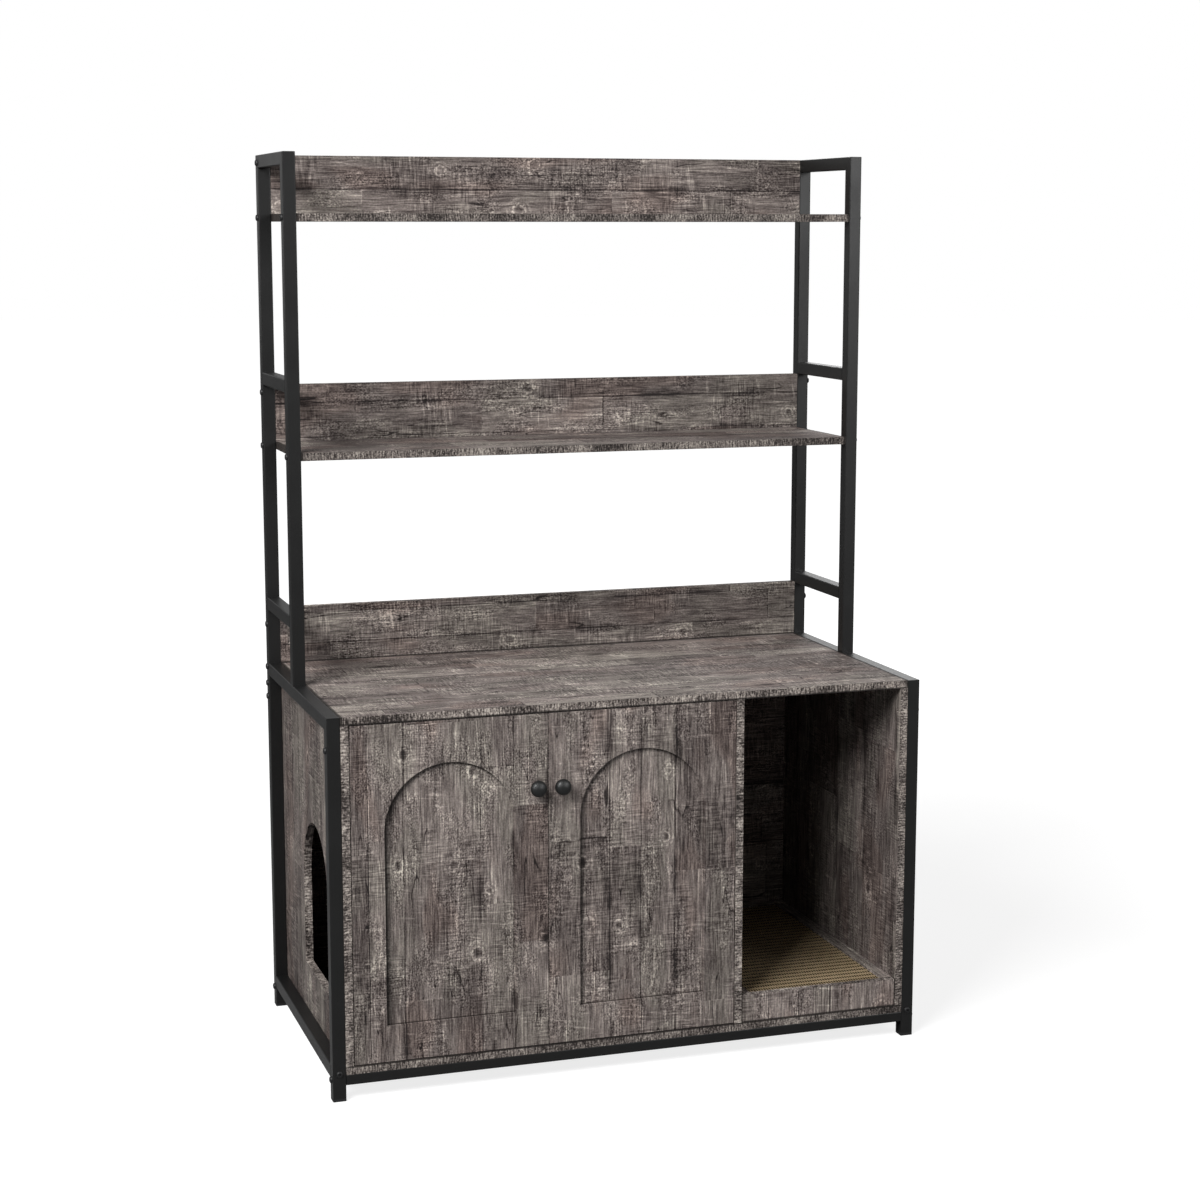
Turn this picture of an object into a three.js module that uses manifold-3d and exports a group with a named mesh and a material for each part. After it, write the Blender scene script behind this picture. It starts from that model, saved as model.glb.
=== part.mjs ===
// Litter box cabinet with an open shelf hutch: steel tube frames carrying plank-finish boards.
// Millimetres, +Z up, +Y towards the back. The floor is z = 0 and x = 0 is the middle of the width.
import * as THREE from 'three';
import { mergeVertices } from 'three/addons/utils/BufferGeometryUtils.js';
import Module from 'manifold-3d';

// ---- Driving sizes -------------------------------------------------------------------------

// Overall
const CABINET_WIDTH = 940;
const CABINET_DEPTH = 475;
const BASE_HEIGHT = 578;
const TOTAL_HEIGHT = 1387;
const HUTCH_DEPTH = 225;

// Square steel tube
const TUBE = 20;
const TUBE_WALL = 1.2;
const TUBE_CORNER = 1.5;
const LOW_RAIL_TUBE_HEIGHT = 16;
const LEG_CLEARANCE = 24;
const FOOT_HEIGHT = 4;

// Boards
const BOARD = 12;
const OPEN_BAY_WIDTH = 262;
const UPSTAND_HEIGHT = 91;
const MIDDLE_RAIL_RISE = 20;
const LOWER_RAIL_RISE = 17.5;

// Cat entrance in the left side board
const ENTRANCE_WIDTH = 180;
const ENTRANCE_HEIGHT = 245;
const ENTRANCE_SILL = 73;
const ENTRANCE_SETBACK = 115;

// Doors
const DOOR_BOARD = 15;
const DOOR_GAP = 1.5;
const RECESS_WIDTH = 200;
const RECESS_DEPTH = 5;
const RECESS_BOTTOM_MARGIN = 54.5;
const RECESS_TOP_MARGIN = 63.5;

// Knobs
const KNOB_DIAMETER = 25;
const KNOB_PROJECTION = 24;
const KNOB_NECK_DIAMETER = 11;
const KNOB_BASE_DIAMETER = 15;
const KNOB_DOME_RISE = 8.5;
const KNOB_EDGE_DISTANCE = 18.25;
const KNOB_DROP = 110.5;
const KNOB_SCREW_DIAMETER = 4;
const KNOB_SCREW_GRIP = 12;

// Concealed hinges
const HINGE_INSET = 78;
const CUP_DIAMETER = 35;
const CUP_DEPTH = 11;
const CUP_WALL = 1.2;
const CUP_EDGE_DISTANCE = 5;
const CUP_FLANGE_LENGTH = 60;
const CUP_FLANGE_WIDTH = 22;
const SHEET = 1.2;
const ARM_WIDTH = 16;
const ARM_LENGTH = 60;
const ARM_BODY_HEIGHT = 10;
const ARM_CRANK_LENGTH = 24;
const ARM_RUNNING_GAP = 2;
const PLATE_LENGTH = 32;
const PLATE_WING = 46;
const PLATE_WING_WIDTH = 15;
const PLATE_THICKNESS = 2;
const PLATE_BOSS_HEIGHT = 6;

// Magnetic catch
const CATCH_LENGTH = 56;
const CATCH_DEPTH = 16;
const CATCH_HEIGHT = 11;
const MAGNET_WIDTH = 16;
const MAGNET_RECESS = 1;
const STRIKE_WIDTH = 20;
const STRIKE_THICKNESS = 1;
const MAGNET_AIR_GAP = 0.6;

// Scratch pad tray
const TRAY_HEIGHT = 44;
const TRAY_STRIP = 18;
const PAD_THICKNESS = 43;
const PAD_CLEARANCE = 1;

// Bolt holes
const BOLT_DIAMETER = 6;
const BOLT_GRIP = 22;
const LOW_UPSTAND_BOLT_DROP = 27;
const UPSTAND_BOLT_DROP = 12;
const SIDE_BOARD_BOLT_DROPS = [33, 55];
const FRONT_BOLT_DROP = 49;

// Clearances
const WELD_GAP = 0.3;
const FIT_GAP = 0.3;
const HOLE_CLEARANCE = 0.3;

// ---- Levels and planes worked out from the sizes -------------------------------------------

const frameOuter = CABINET_WIDTH / 2;
const frameInner = frameOuter - TUBE;
const sideInner = frameInner - BOARD;
const rear = CABINET_DEPTH;
const rearPostFront = CABINET_DEPTH - TUBE;
const hutchFront = CABINET_DEPTH - HUTCH_DEPTH;

const lowRailTop = LEG_CLEARANCE + LOW_RAIL_TUBE_HEIGHT;
const floorTop = lowRailTop + BOARD;
const ceiling = BASE_HEIGHT - BOARD;
const dividerRight = sideInner - OPEN_BAY_WIDTH;
const dividerLeft = dividerRight - BOARD;
const backBoardFront = rear - BOARD;
const shelfPitch = (TOTAL_HEIGHT - UPSTAND_HEIGHT - BASE_HEIGHT) / 2;
const middleShelf = BASE_HEIGHT + shelfPitch;
const topShelf = middleShelf + shelfPitch;

const doorBottom = floorTop + DOOR_GAP;
const doorTop = ceiling - DOOR_GAP;
const doorBayWidth = dividerLeft + sideInner;
const doorWidth = (doorBayWidth - 3 * DOOR_GAP) / 2;
const knobHeight = doorTop - KNOB_DROP;
const hingeLevels = { lower: doorBottom + HINGE_INSET, upper: doorTop - HINGE_INSET };
const meetingLine = (dividerLeft - sideInner) / 2;

const middleOfDepth = (rear - KNOB_PROJECTION) / 2;

// ---- Materials -----------------------------------------------------------------------------

function finish(color, roughness, metalness) {
  return new THREE.MeshStandardMaterial({ color, roughness, metalness });
}

const steel = () => finish(0x262626, 0.5, 0.3);
const plank = () => finish(0x776d66, 0.75, 0);
const plastic = () => finish(0x1a1a1a, 0.6, 0);
const nickel = () => finish(0xb4b2ad, 0.3, 0.9);
const cardboard = () => finish(0xa48c68, 0.95, 0);

// ---- Solids --------------------------------------------------------------------------------

const wasm = await Module();
wasm.setup();

const ARC_SEGMENTS = 20;
const HOLE_SEGMENTS = 8;
const MARGIN = 1;

// Cyclic changes of axes: they keep every face turned outwards.
const ALONG_X = new THREE.Matrix4().set(0, 0, 1, 0, 1, 0, 0, 0, 0, 1, 0, 0, 0, 0, 0, 1);
const ALONG_Y = new THREE.Matrix4().set(0, 1, 0, 0, 0, 0, 1, 0, 1, 0, 0, 0, 0, 0, 0, 1);

function toSolid(geometry) {
  const bare = geometry.clone();
  bare.deleteAttribute('normal');
  bare.deleteAttribute('uv');
  const merged = mergeVertices(bare, 1e-4);
  const faces = [];
  for (let i = 0; i < merged.index.count; i += 3) {
    const [a, b, c] = [merged.index.getX(i), merged.index.getX(i + 1), merged.index.getX(i + 2)];
    if (a !== b && b !== c && c !== a) faces.push(a, b, c);
  }
  const vertProperties = new Float32Array(merged.attributes.position.array);
  return new wasm.Manifold(new wasm.Mesh({ numProp: 3, vertProperties, triVerts: new Uint32Array(faces) }));
}

function toGeometry(solid) {
  const mesh = solid.getMesh();
  const geometry = new THREE.BufferGeometry();
  geometry.setAttribute('position', new THREE.BufferAttribute(new Float32Array(mesh.vertProperties), 3));
  geometry.setIndex(new THREE.BufferAttribute(new Uint32Array(mesh.triVerts), 1));
  geometry.computeVertexNormals();
  return geometry;
}

const cut = (solid, ...tools) => tools.reduce((left, tool) => left.subtract(tool), solid);
const join = (first, ...others) => others.reduce((all, other) => all.add(other), first);

function block([x0, x1], [y0, y1], [z0, z1]) {
  const geometry = new THREE.BoxGeometry(x1 - x0, y1 - y0, z1 - z0);
  geometry.translate((x0 + x1) / 2, (y0 + y1) / 2, (z0 + z1) / 2);
  return toSolid(geometry);
}

// A flat outline drawn in (y, z), (z, x) or (x, y) and pushed along 'x', 'y' or 'z'.
function extruded(shape, axis, [from, to], curveSegments = ARC_SEGMENTS) {
  const settings = { depth: to - from, bevelEnabled: false, curveSegments };
  const geometry = new THREE.ExtrudeGeometry(shape, settings);
  geometry.translate(0, 0, from);
  if (axis === 'x') geometry.applyMatrix4(ALONG_X);
  if (axis === 'y') geometry.applyMatrix4(ALONG_Y);
  return toSolid(geometry);
}

const outline = (points) => new THREE.Shape(points.map(([u, v]) => new THREE.Vector2(u, v)));

// A profile of [radius, height] pairs turned about an axis that starts at a point.
function turned(profile, axis, start, segments, backwards = false) {
  const points = profile.map(([radius, height]) => new THREE.Vector2(radius, height));
  const geometry = new THREE.LatheGeometry(points, segments);
  if (backwards) geometry.rotateX(Math.PI);
  if (axis === 'x') geometry.applyMatrix4(ALONG_Y);
  if (axis === 'z') geometry.applyMatrix4(ALONG_X);
  geometry.translate(...start);
  return toSolid(geometry);
}

function rod(axis, start, radius, length, segments = HOLE_SEGMENTS) {
  return turned([[0, 0], [radius, 0], [radius, length], [0, length]], axis, start, segments);
}

function roundedRectangle(u0, u1, v0, v1, radius) {
  const shape = new THREE.Shape();
  shape.moveTo(u0 + radius, v0);
  shape.lineTo(u1 - radius, v0);
  shape.absarc(u1 - radius, v0 + radius, radius, -Math.PI / 2, 0);
  shape.lineTo(u1, v1 - radius);
  shape.absarc(u1 - radius, v1 - radius, radius, 0, Math.PI / 2);
  shape.lineTo(u0 + radius, v1);
  shape.absarc(u0 + radius, v1 - radius, radius, Math.PI / 2, Math.PI);
  shape.lineTo(u0, v0 + radius);
  shape.absarc(u0 + radius, v0 + radius, radius, Math.PI, 1.5 * Math.PI);
  return shape;
}

const CORNER_SEGMENTS = 2;

// A length of square tube, open at both ends.
function tube(axis, [x0, x1], [y0, y1], [z0, z1]) {
  const section = { x: [y0, y1, z0, z1], y: [z0, z1, x0, x1], z: [x0, x1, y0, y1] }[axis];
  const span = { x: [x0, x1], y: [y0, y1], z: [z0, z1] }[axis];
  const [u0, u1, v0, v1] = section;
  const [a0, a1, b0, b1] = [u0 + TUBE_WALL, u1 - TUBE_WALL, v0 + TUBE_WALL, v1 - TUBE_WALL];
  const shape = roundedRectangle(u0, u1, v0, v1, TUBE_CORNER);
  shape.holes.push(outline([[a0, b0], [a1, b0], [a1, b1], [a0, b1]]));
  return extruded(shape, axis, span, CORNER_SEGMENTS);
}

// ---- Scene ---------------------------------------------------------------------------------

const cabinet = new THREE.Group();
cabinet.position.y = -middleOfDepth;

function place(name, solid, material) {
  const mesh = new THREE.Mesh(toGeometry(solid), material);
  mesh.name = name;
  cabinet.add(mesh);
}

const sides = [
  { name: 'left', sign: -1 },
  { name: 'right', sign: 1 },
];
const across = (sign, a, b) => (sign > 0 ? [a, b] : [-b, -a]);

// ---- Bolt holes ----------------------------------------------------------------------------

const postMiddle = frameInner + TUBE / 2;
const hutchFrontPostMiddle = hutchFront + TUBE / 2;
const rearPostMiddle = rearPostFront + TUBE / 2;
const upstandMiddle = rearPostFront + BOARD / 2;
const lowRailMiddle = LEG_CLEARANCE + LOW_RAIL_TUBE_HEIGHT / 2;
const sideRailMiddle = floorTop - TUBE / 2;
const holeRadius = BOLT_DIAMETER / 2 + HOLE_CLEARANCE;

// Holes drilled from the outer face of a post towards the middle, as [y, z, depth].
const baseSideHoles = [
  [TUBE / 2, lowRailMiddle, TUBE],
  [rearPostMiddle, lowRailMiddle, TUBE],
  [rearPostMiddle, BASE_HEIGHT - BOARD / 2, TUBE + BOLT_GRIP],
  [TUBE / 2, BASE_HEIGHT - FRONT_BOLT_DROP, TUBE + BOARD],
  ...SIDE_BOARD_BOLT_DROPS.map((drop) => [rearPostMiddle, BASE_HEIGHT - drop, TUBE + BOARD]),
];
const hutchSideHoles = [
  [upstandMiddle, TOTAL_HEIGHT - UPSTAND_BOLT_DROP, TUBE + BOLT_GRIP],
  [upstandMiddle, middleShelf + UPSTAND_HEIGHT - UPSTAND_BOLT_DROP, TUBE + BOLT_GRIP],
  [upstandMiddle, BASE_HEIGHT + UPSTAND_HEIGHT - LOW_UPSTAND_BOLT_DROP, TUBE + BOLT_GRIP],
  ...[topShelf, middleShelf].flatMap((level) => [
    [hutchFrontPostMiddle, level - BOARD / 2, TUBE + BOLT_GRIP],
    [rearPostMiddle, level - BOARD / 2, TUBE + BOLT_GRIP],
  ]),
];

function sideHoles(sign, spots) {
  return spots.map(([y, z, depth]) => {
    const start = sign > 0 ? frameOuter - depth : -frameOuter - MARGIN;
    return rod('x', [start, y, z], holeRadius, depth + MARGIN);
  });
}

// Holes through the front or back face of a post, towards the end of the side bottom rail.
function endHole(sign, outer) {
  const start = outer > 0 ? outer - TUBE - MARGIN : -MARGIN;
  return rod('y', [sign * postMiddle, start, sideRailMiddle], holeRadius, TUBE + 2 * MARGIN);
}

// ---- Steel frames --------------------------------------------------------------------------

// Wedges in (y, z) that mitre a post and a rail where they meet at an upper corner. The corner
// square lies between `outer`, the frame's outer plane, and one tube towards the middle.
function mitre(outer, top, inward, [x0, x1]) {
  const at = (distance, height) => [outer + inward * distance, height];
  const reach = TUBE + MARGIN;
  const fromPost = outline([
    at(-MARGIN, top + MARGIN - WELD_GAP),
    at(reach, top - reach - WELD_GAP),
    at(reach, top + 2 * MARGIN),
    at(-MARGIN, top + 2 * MARGIN),
  ]);
  const fromRail = outline([at(-MARGIN, top + MARGIN), at(reach, top - reach), at(-MARGIN, top - reach)]);
  const span = [x0 - MARGIN, x1 + MARGIN];
  return { post: extruded(fromPost, 'x', span), rail: extruded(fromRail, 'x', span) };
}

function baseFrame({ name, sign }) {
  const x = across(sign, frameInner, frameOuter);
  const holes = sideHoles(sign, baseSideHoles);
  const front = mitre(0, BASE_HEIGHT, 1, x);
  const back = mitre(rear, BASE_HEIGHT, -1, x);
  const upright = [FOOT_HEIGHT, BASE_HEIGHT];

  const frontPost = tube('z', x, [0, TUBE], upright);
  place(`base_${name}_front_post`, cut(frontPost, front.post, endHole(sign, 0), ...holes), steel());

  const rearPost = tube('z', x, [rearPostFront, rear], upright);
  place(`base_${name}_rear_post`, cut(rearPost, back.post, endHole(sign, rear), ...holes), steel());

  const topRail = tube('y', x, [0, rear], [BASE_HEIGHT - TUBE, BASE_HEIGHT]);
  place(`base_${name}_top_rail`, cut(topRail, front.rail, back.rail, ...holes), steel());

  const between = [TUBE + WELD_GAP, rearPostFront - WELD_GAP];
  place(`base_${name}_bottom_rail`, tube('y', x, between, [floorTop - TUBE, floorTop]), steel());
}

function hutchFrame({ name, sign }) {
  const x = across(sign, frameInner, frameOuter);
  const holes = sideHoles(sign, hutchSideHoles);
  const front = mitre(hutchFront, TOTAL_HEIGHT, 1, x);
  const back = mitre(rear, TOTAL_HEIGHT, -1, x);
  const upright = [BASE_HEIGHT, TOTAL_HEIGHT];

  const frontPost = tube('z', x, [hutchFront, hutchFront + TUBE], upright);
  place(`hutch_${name}_front_post`, cut(frontPost, front.post, ...holes), steel());

  const rearPost = tube('z', x, [rearPostFront, rear], upright);
  place(`hutch_${name}_rear_post`, cut(rearPost, back.post, ...holes), steel());

  const topRail = tube('y', x, [hutchFront, rear], [TOTAL_HEIGHT - TUBE, TOTAL_HEIGHT]);
  place(`hutch_${name}_top_rail`, cut(topRail, front.rail, back.rail, ...holes), steel());

  const between = [hutchFront + TUBE + WELD_GAP, rearPostFront - WELD_GAP];
  const rails = {
    middle: middleShelf + UPSTAND_HEIGHT + MIDDLE_RAIL_RISE,
    lower: BASE_HEIGHT + UPSTAND_HEIGHT + LOWER_RAIL_RISE,
  };
  for (const [level, top] of Object.entries(rails)) {
    place(`hutch_${name}_${level}_rail`, tube('y', x, between, [top - TUBE, top]), steel());
  }
}

function crossRails() {
  const x = [-frameInner + WELD_GAP, frameInner - WELD_GAP];
  const z = [LEG_CLEARANCE, lowRailTop];
  place('front_bottom_rail', tube('x', x, [0, TUBE], z), steel());
  place('rear_bottom_rail', tube('x', x, [rearPostFront, rear], z), steel());
}

// Moulded foot caps: a pad under the post and a hollow plug inside it.
function footCaps() {
  const inset = TUBE_WALL + FIT_GAP;
  const plugTop = FOOT_HEIGHT + LOW_RAIL_TUBE_HEIGHT;
  const rows = [{ row: 'front', y0: 0 }, { row: 'rear', y0: rearPostFront }];
  for (const { row, y0 } of rows) {
    for (const { name, sign } of sides) {
      const [x0, x1] = across(sign, frameInner, frameOuter);
      const y1 = y0 + TUBE;
      const pad = extruded(roundedRectangle(x0, x1, y0, y1, TUBE_CORNER), 'z', [0, FOOT_HEIGHT], 2);
      const plug = block([x0 + inset, x1 - inset], [y0 + inset, y1 - inset], [FOOT_HEIGHT / 2, plugTop]);
      const wall = inset + TUBE_WALL * 1.5;
      const hollow = block([x0 + wall, x1 - wall], [y0 + wall, y1 - wall], [FOOT_HEIGHT, plugTop + MARGIN]);
      place(`foot_cap_${row}_${name}`, cut(join(pad, plug), hollow), plastic());
    }
  }
}

// ---- Base boards ---------------------------------------------------------------------------

function entrance() {
  const front = ENTRANCE_SETBACK;
  const radius = ENTRANCE_WIDTH / 2;
  const bottom = floorTop + ENTRANCE_SILL;
  const spring = bottom + ENTRANCE_HEIGHT - radius;
  const shape = new THREE.Shape();
  shape.moveTo(front, bottom);
  shape.lineTo(front + ENTRANCE_WIDTH, bottom);
  shape.lineTo(front + ENTRANCE_WIDTH, spring);
  shape.absarc(front + radius, spring, radius, 0, Math.PI);
  shape.lineTo(front, bottom);
  return extruded(shape, 'x', [-frameInner - MARGIN, -sideInner + MARGIN]);
}

function baseBoards() {
  const leftHoles = sideHoles(-1, baseSideHoles);
  const rightHoles = sideHoles(1, baseSideHoles);
  const acrossFrame = [-frameInner, frameInner];
  const top = block(acrossFrame, [0, rear], [ceiling, BASE_HEIGHT]);
  place('top_board', cut(top, ...leftHoles, ...rightHoles), plank());
  place('bottom_board', block(acrossFrame, [0, rear], [lowRailTop, floorTop]), plank());

  const standing = [floorTop, ceiling];
  const left = block([-frameInner, -sideInner], [0, rear], standing);
  place('left_side_board', cut(left, entrance(), ...leftHoles), plank());
  const right = block([sideInner, frameInner], [0, rear], standing);
  place('right_side_board', cut(right, ...rightHoles), plank());
  place('divider_board', block([dividerLeft, dividerRight], [0, backBoardFront], standing), plank());
  place('back_board', block([-sideInner, sideInner], [backBoardFront, rear], standing), plank());
}

// ---- Scratch pad and the shallow tray that holds it ----------------------------------------

function scratchTray() {
  const x0 = dividerRight;
  const x1 = sideInner;
  const upright = [floorTop, floorTop + TRAY_HEIGHT];
  const run = [BOARD, backBoardFront - TRAY_STRIP];
  place('toe_board', block([x0, x1], [0, BOARD], upright), plank());
  place('tray_rear_strip', block([x0, x1], [run[1], backBoardFront], upright), plank());
  place('tray_left_strip', block([x0, x0 + TRAY_STRIP], run, upright), plank());
  place('tray_right_strip', block([x1 - TRAY_STRIP, x1], run, upright), plank());

  const room = TRAY_STRIP + PAD_CLEARANCE;
  const pad = block(
    [x0 + room, x1 - room],
    [run[0] + PAD_CLEARANCE, run[1] - PAD_CLEARANCE],
    [floorTop, floorTop + PAD_THICKNESS],
  );
  place('scratch_pad', pad, cardboard());
}

// ---- Hutch boards --------------------------------------------------------------------------

function hutchBoards() {
  const x = [-frameInner, frameInner];
  const holes = sides.flatMap(({ sign }) => sideHoles(sign, hutchSideHoles));
  const upstand = (bottom) => {
    const board = block(x, [rearPostFront, rearPostFront + BOARD], [bottom, bottom + UPSTAND_HEIGHT]);
    return cut(board, ...holes);
  };
  const shelf = (top) => cut(block(x, [hutchFront, rear], [top - BOARD, top]), ...holes);
  place('low_back_board', upstand(BASE_HEIGHT), plank());
  place('middle_shelf', shelf(middleShelf), plank());
  place('middle_back_board', upstand(middleShelf), plank());
  place('top_shelf', shelf(topShelf), plank());
  place('top_back_board', upstand(topShelf), plank());
}

// ---- Doors ---------------------------------------------------------------------------------

// `hinged` is the x of the hinge edge and `sign` points from there to the meeting edge.
const doors = [
  { name: 'left', sign: 1, hinged: -sideInner + DOOR_GAP, carrier: -sideInner },
  { name: 'right', sign: -1, hinged: dividerLeft - DOOR_GAP, carrier: dividerLeft },
];
const fromEdge = ({ hinged, sign }, a, b) => [hinged + sign * a, hinged + sign * b].sort((p, q) => p - q);
const cupCentre = CUP_EDGE_DISTANCE + CUP_DIAMETER / 2;

function archedRecess(door) {
  const margin = (doorWidth - RECESS_WIDTH) / 2;
  const [x0, x1] = fromEdge(door, margin, margin + RECESS_WIDTH);
  const radius = RECESS_WIDTH / 2;
  const bottom = doorBottom + RECESS_BOTTOM_MARGIN;
  const spring = doorTop - RECESS_TOP_MARGIN - radius;
  const shape = new THREE.Shape();
  shape.moveTo(bottom, x0);
  shape.lineTo(spring, x0);
  shape.absarc(spring, x0 + radius, radius, -Math.PI / 2, Math.PI / 2);
  shape.lineTo(bottom, x1);
  shape.lineTo(bottom, x0);
  return extruded(shape, 'y', [-MARGIN, RECESS_DEPTH]);
}

function doorLeaf(door) {
  const leaf = block(fromEdge(door, 0, doorWidth), [0, DOOR_BOARD], [doorBottom, doorTop]);
  const [cupX] = fromEdge(door, cupCentre, cupCentre);
  const depth = CUP_DEPTH + FIT_GAP;
  const pockets = Object.values(hingeLevels).map((z) => {
    const radius = CUP_DIAMETER / 2 + HOLE_CLEARANCE;
    return rod('y', [cupX, DOOR_BOARD - depth, z], radius, depth + MARGIN, ARC_SEGMENTS);
  });
  const [knobX] = fromEdge(door, doorWidth - KNOB_EDGE_DISTANCE, doorWidth - KNOB_EDGE_DISTANCE);
  const screwRadius = KNOB_SCREW_DIAMETER / 2 + HOLE_CLEARANCE;
  const screwHole = rod('y', [knobX, -MARGIN, knobHeight], screwRadius, DOOR_BOARD + 2 * MARGIN);
  place(`${door.name}_door`, cut(leaf, archedRecess(door), screwHole, ...pockets), plank());
}

// A turned mushroom knob on a short neck, bored from the back for its screw.
function doorKnob(door) {
  const [x] = fromEdge(door, doorWidth - KNOB_EDGE_DISTANCE, doorWidth - KNOB_EDGE_DISTANCE);
  const rim = KNOB_DIAMETER / 2;
  const neck = KNOB_NECK_DIAMETER / 2;
  const base = KNOB_BASE_DIAMETER / 2;
  const front = KNOB_PROJECTION;
  const rimEnd = front - KNOB_DOME_RISE;
  const rimStart = front * 0.48;
  const profile = [[0, 0], [base, 0], [base, front * 0.08], [neck, front * 0.2], [neck, front * 0.38]];
  profile.push([rim * 0.86, rimStart], [rim, rimStart + front * 0.08], [rim, rimEnd]);
  const DOME_STEPS = 6;
  for (let step = 1; step <= DOME_STEPS; step += 1) {
    const angle = (step / DOME_STEPS) * (Math.PI / 2);
    const radius = step === DOME_STEPS ? 0 : rim * Math.cos(angle);
    profile.push([radius, rimEnd + KNOB_DOME_RISE * Math.sin(angle)]);
  }
  const knob = turned(profile, 'y', [x, 0, knobHeight], ARC_SEGMENTS, true);
  const boreRadius = KNOB_SCREW_DIAMETER / 2;
  const bore = rod('y', [x, -KNOB_SCREW_GRIP, knobHeight], boreRadius, KNOB_SCREW_GRIP + MARGIN);
  place(`${door.name}_knob`, cut(knob, bore), plastic());
}

// Pressed hinge cups with their flange on the back of the door.
function hingeCups(door) {
  const [x] = fromEdge(door, cupCentre, cupCentre);
  const radius = CUP_DIAMETER / 2;
  const bottom = DOOR_BOARD - CUP_DEPTH;
  for (const [level, z] of Object.entries(hingeLevels)) {
    const shell = rod('y', [x, bottom, z], radius, CUP_DEPTH + SHEET, ARC_SEGMENTS);
    const flangeShape = roundedRectangle(
      z - CUP_FLANGE_LENGTH / 2,
      z + CUP_FLANGE_LENGTH / 2,
      x - CUP_FLANGE_WIDTH / 2,
      x + CUP_FLANGE_WIDTH / 2,
      CUP_FLANGE_WIDTH * 0.4,
    );
    const flange = extruded(flangeShape, 'y', [DOOR_BOARD, DOOR_BOARD + SHEET], 4);
    const hollow = rod('y', [x, bottom + CUP_WALL, z], radius - CUP_WALL, CUP_DEPTH + SHEET, ARC_SEGMENTS);
    place(`${door.name}_door_${level}_hinge_cup`, cut(join(shell, flange), hollow), nickel());
  }
}

// Cranked arms, pressed as channels open towards the board that carries them. Their tips stand
// just behind the cups, and each arm clips over the raised boss of its winged mounting plate.
function hingeArms(door) {
  const { carrier, sign } = door;
  const tipY = DOOR_BOARD + SHEET + ARM_RUNNING_GAP;
  const endY = tipY + ARM_LENGTH;
  const foot = PLATE_THICKNESS + FIT_GAP;
  const bodyTop = foot + ARM_BODY_HEIGHT;
  const tipAway = DOOR_GAP + cupCentre;
  const tipHalf = ARM_BODY_HEIGHT / 2;
  const half = ARM_WIDTH / 2;

  const silhouette = (skin, open) => outline([
    [carrier + sign * (foot - open), endY - skin],
    [carrier + sign * (foot - open), tipY + ARM_CRANK_LENGTH],
    [carrier + sign * (tipAway - tipHalf - open), tipY + skin],
    [carrier + sign * (tipAway + tipHalf - skin), tipY + skin],
    [carrier + sign * (bodyTop - skin), tipY + ARM_CRANK_LENGTH + skin],
    [carrier + sign * (bodyTop - skin), endY - skin],
  ]);
  const away = (a, b) => [carrier + sign * a, carrier + sign * b].sort((p, q) => p - q);
  const bossHalf = half - SHEET - FIT_GAP;
  const y1 = endY - SHEET - FIT_GAP;
  const y0 = y1 - PLATE_LENGTH;
  const wingMiddle = (y0 + y1) / 2;

  for (const [level, z] of Object.entries(hingeLevels)) {
    const outer = extruded(silhouette(0, 0), 'z', [z - half, z + half]);
    const inner = extruded(silhouette(SHEET, MARGIN), 'z', [z - half + SHEET, z + half - SHEET]);
    place(`${door.name}_door_${level}_hinge_arm`, cut(outer, inner), nickel());

    const wingShape = roundedRectangle(
      wingMiddle - PLATE_WING_WIDTH / 2,
      wingMiddle + PLATE_WING_WIDTH / 2,
      z - PLATE_WING / 2,
      z + PLATE_WING / 2,
      PLATE_WING_WIDTH * 0.4,
    );
    const wings = extruded(wingShape, 'x', away(0, PLATE_THICKNESS), 4);
    const strip = block(away(0, PLATE_THICKNESS), [y0, y1], [z - bossHalf, z + bossHalf]);
    const bossReach = PLATE_THICKNESS + PLATE_BOSS_HEIGHT;
    const boss = block(away(0, bossReach), [y0 + SHEET, y1], [z - bossHalf, z + bossHalf]);
    place(`${door.name}_door_${level}_hinge_plate`, join(wings, strip, boss), nickel());
  }
}

// One twin magnetic catch under the top board and a strike plate on each door.
function doorCatch() {
  const strikeFace = DOOR_BOARD + STRIKE_THICKNESS;
  const front = strikeFace + MAGNET_AIR_GAP;
  const level = [ceiling - CATCH_HEIGHT, ceiling];
  const x = [meetingLine - CATCH_LENGTH / 2, meetingLine + CATCH_LENGTH / 2];
  const body = block(x, [front, front + CATCH_DEPTH], level);
  const faces = doors.map(({ sign }) => {
    const centre = meetingLine - (sign * CATCH_LENGTH) / 4;
    const width = [centre - MAGNET_WIDTH / 2, centre + MAGNET_WIDTH / 2];
    const height = [level[0] + MARGIN, level[1] - 2 * MARGIN];
    return block(width, [front - MARGIN, front + MAGNET_RECESS], height);
  });
  place('magnetic_catch', cut(body, ...faces), plastic());
  for (const { name, sign } of doors) {
    const centre = meetingLine - (sign * CATCH_LENGTH) / 4;
    const strike = block(
      [centre - STRIKE_WIDTH / 2, centre + STRIKE_WIDTH / 2],
      [DOOR_BOARD, strikeFace],
      [ceiling - CATCH_HEIGHT, doorTop - MARGIN],
    );
    place(`${name}_strike_plate`, strike, nickel());
  }
}

// ---- Assembly ------------------------------------------------------------------------------

sides.forEach(baseFrame);
sides.forEach(hutchFrame);
crossRails();
footCaps();
baseBoards();
scratchTray();
hutchBoards();
for (const door of doors) {
  doorLeaf(door);
  doorKnob(door);
  hingeCups(door);
  hingeArms(door);
}
doorCatch();

export default cabinet;
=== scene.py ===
"""Looks of the litter box cabinet: boards, steel frames, doors, hinges, scratch pad and studio."""

import logging
import math
from collections.abc import Callable, Iterable, Mapping, Sequence
from dataclasses import dataclass, replace
from enum import Enum

import bmesh
import bpy
from mathutils import Matrix, Vector


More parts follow.
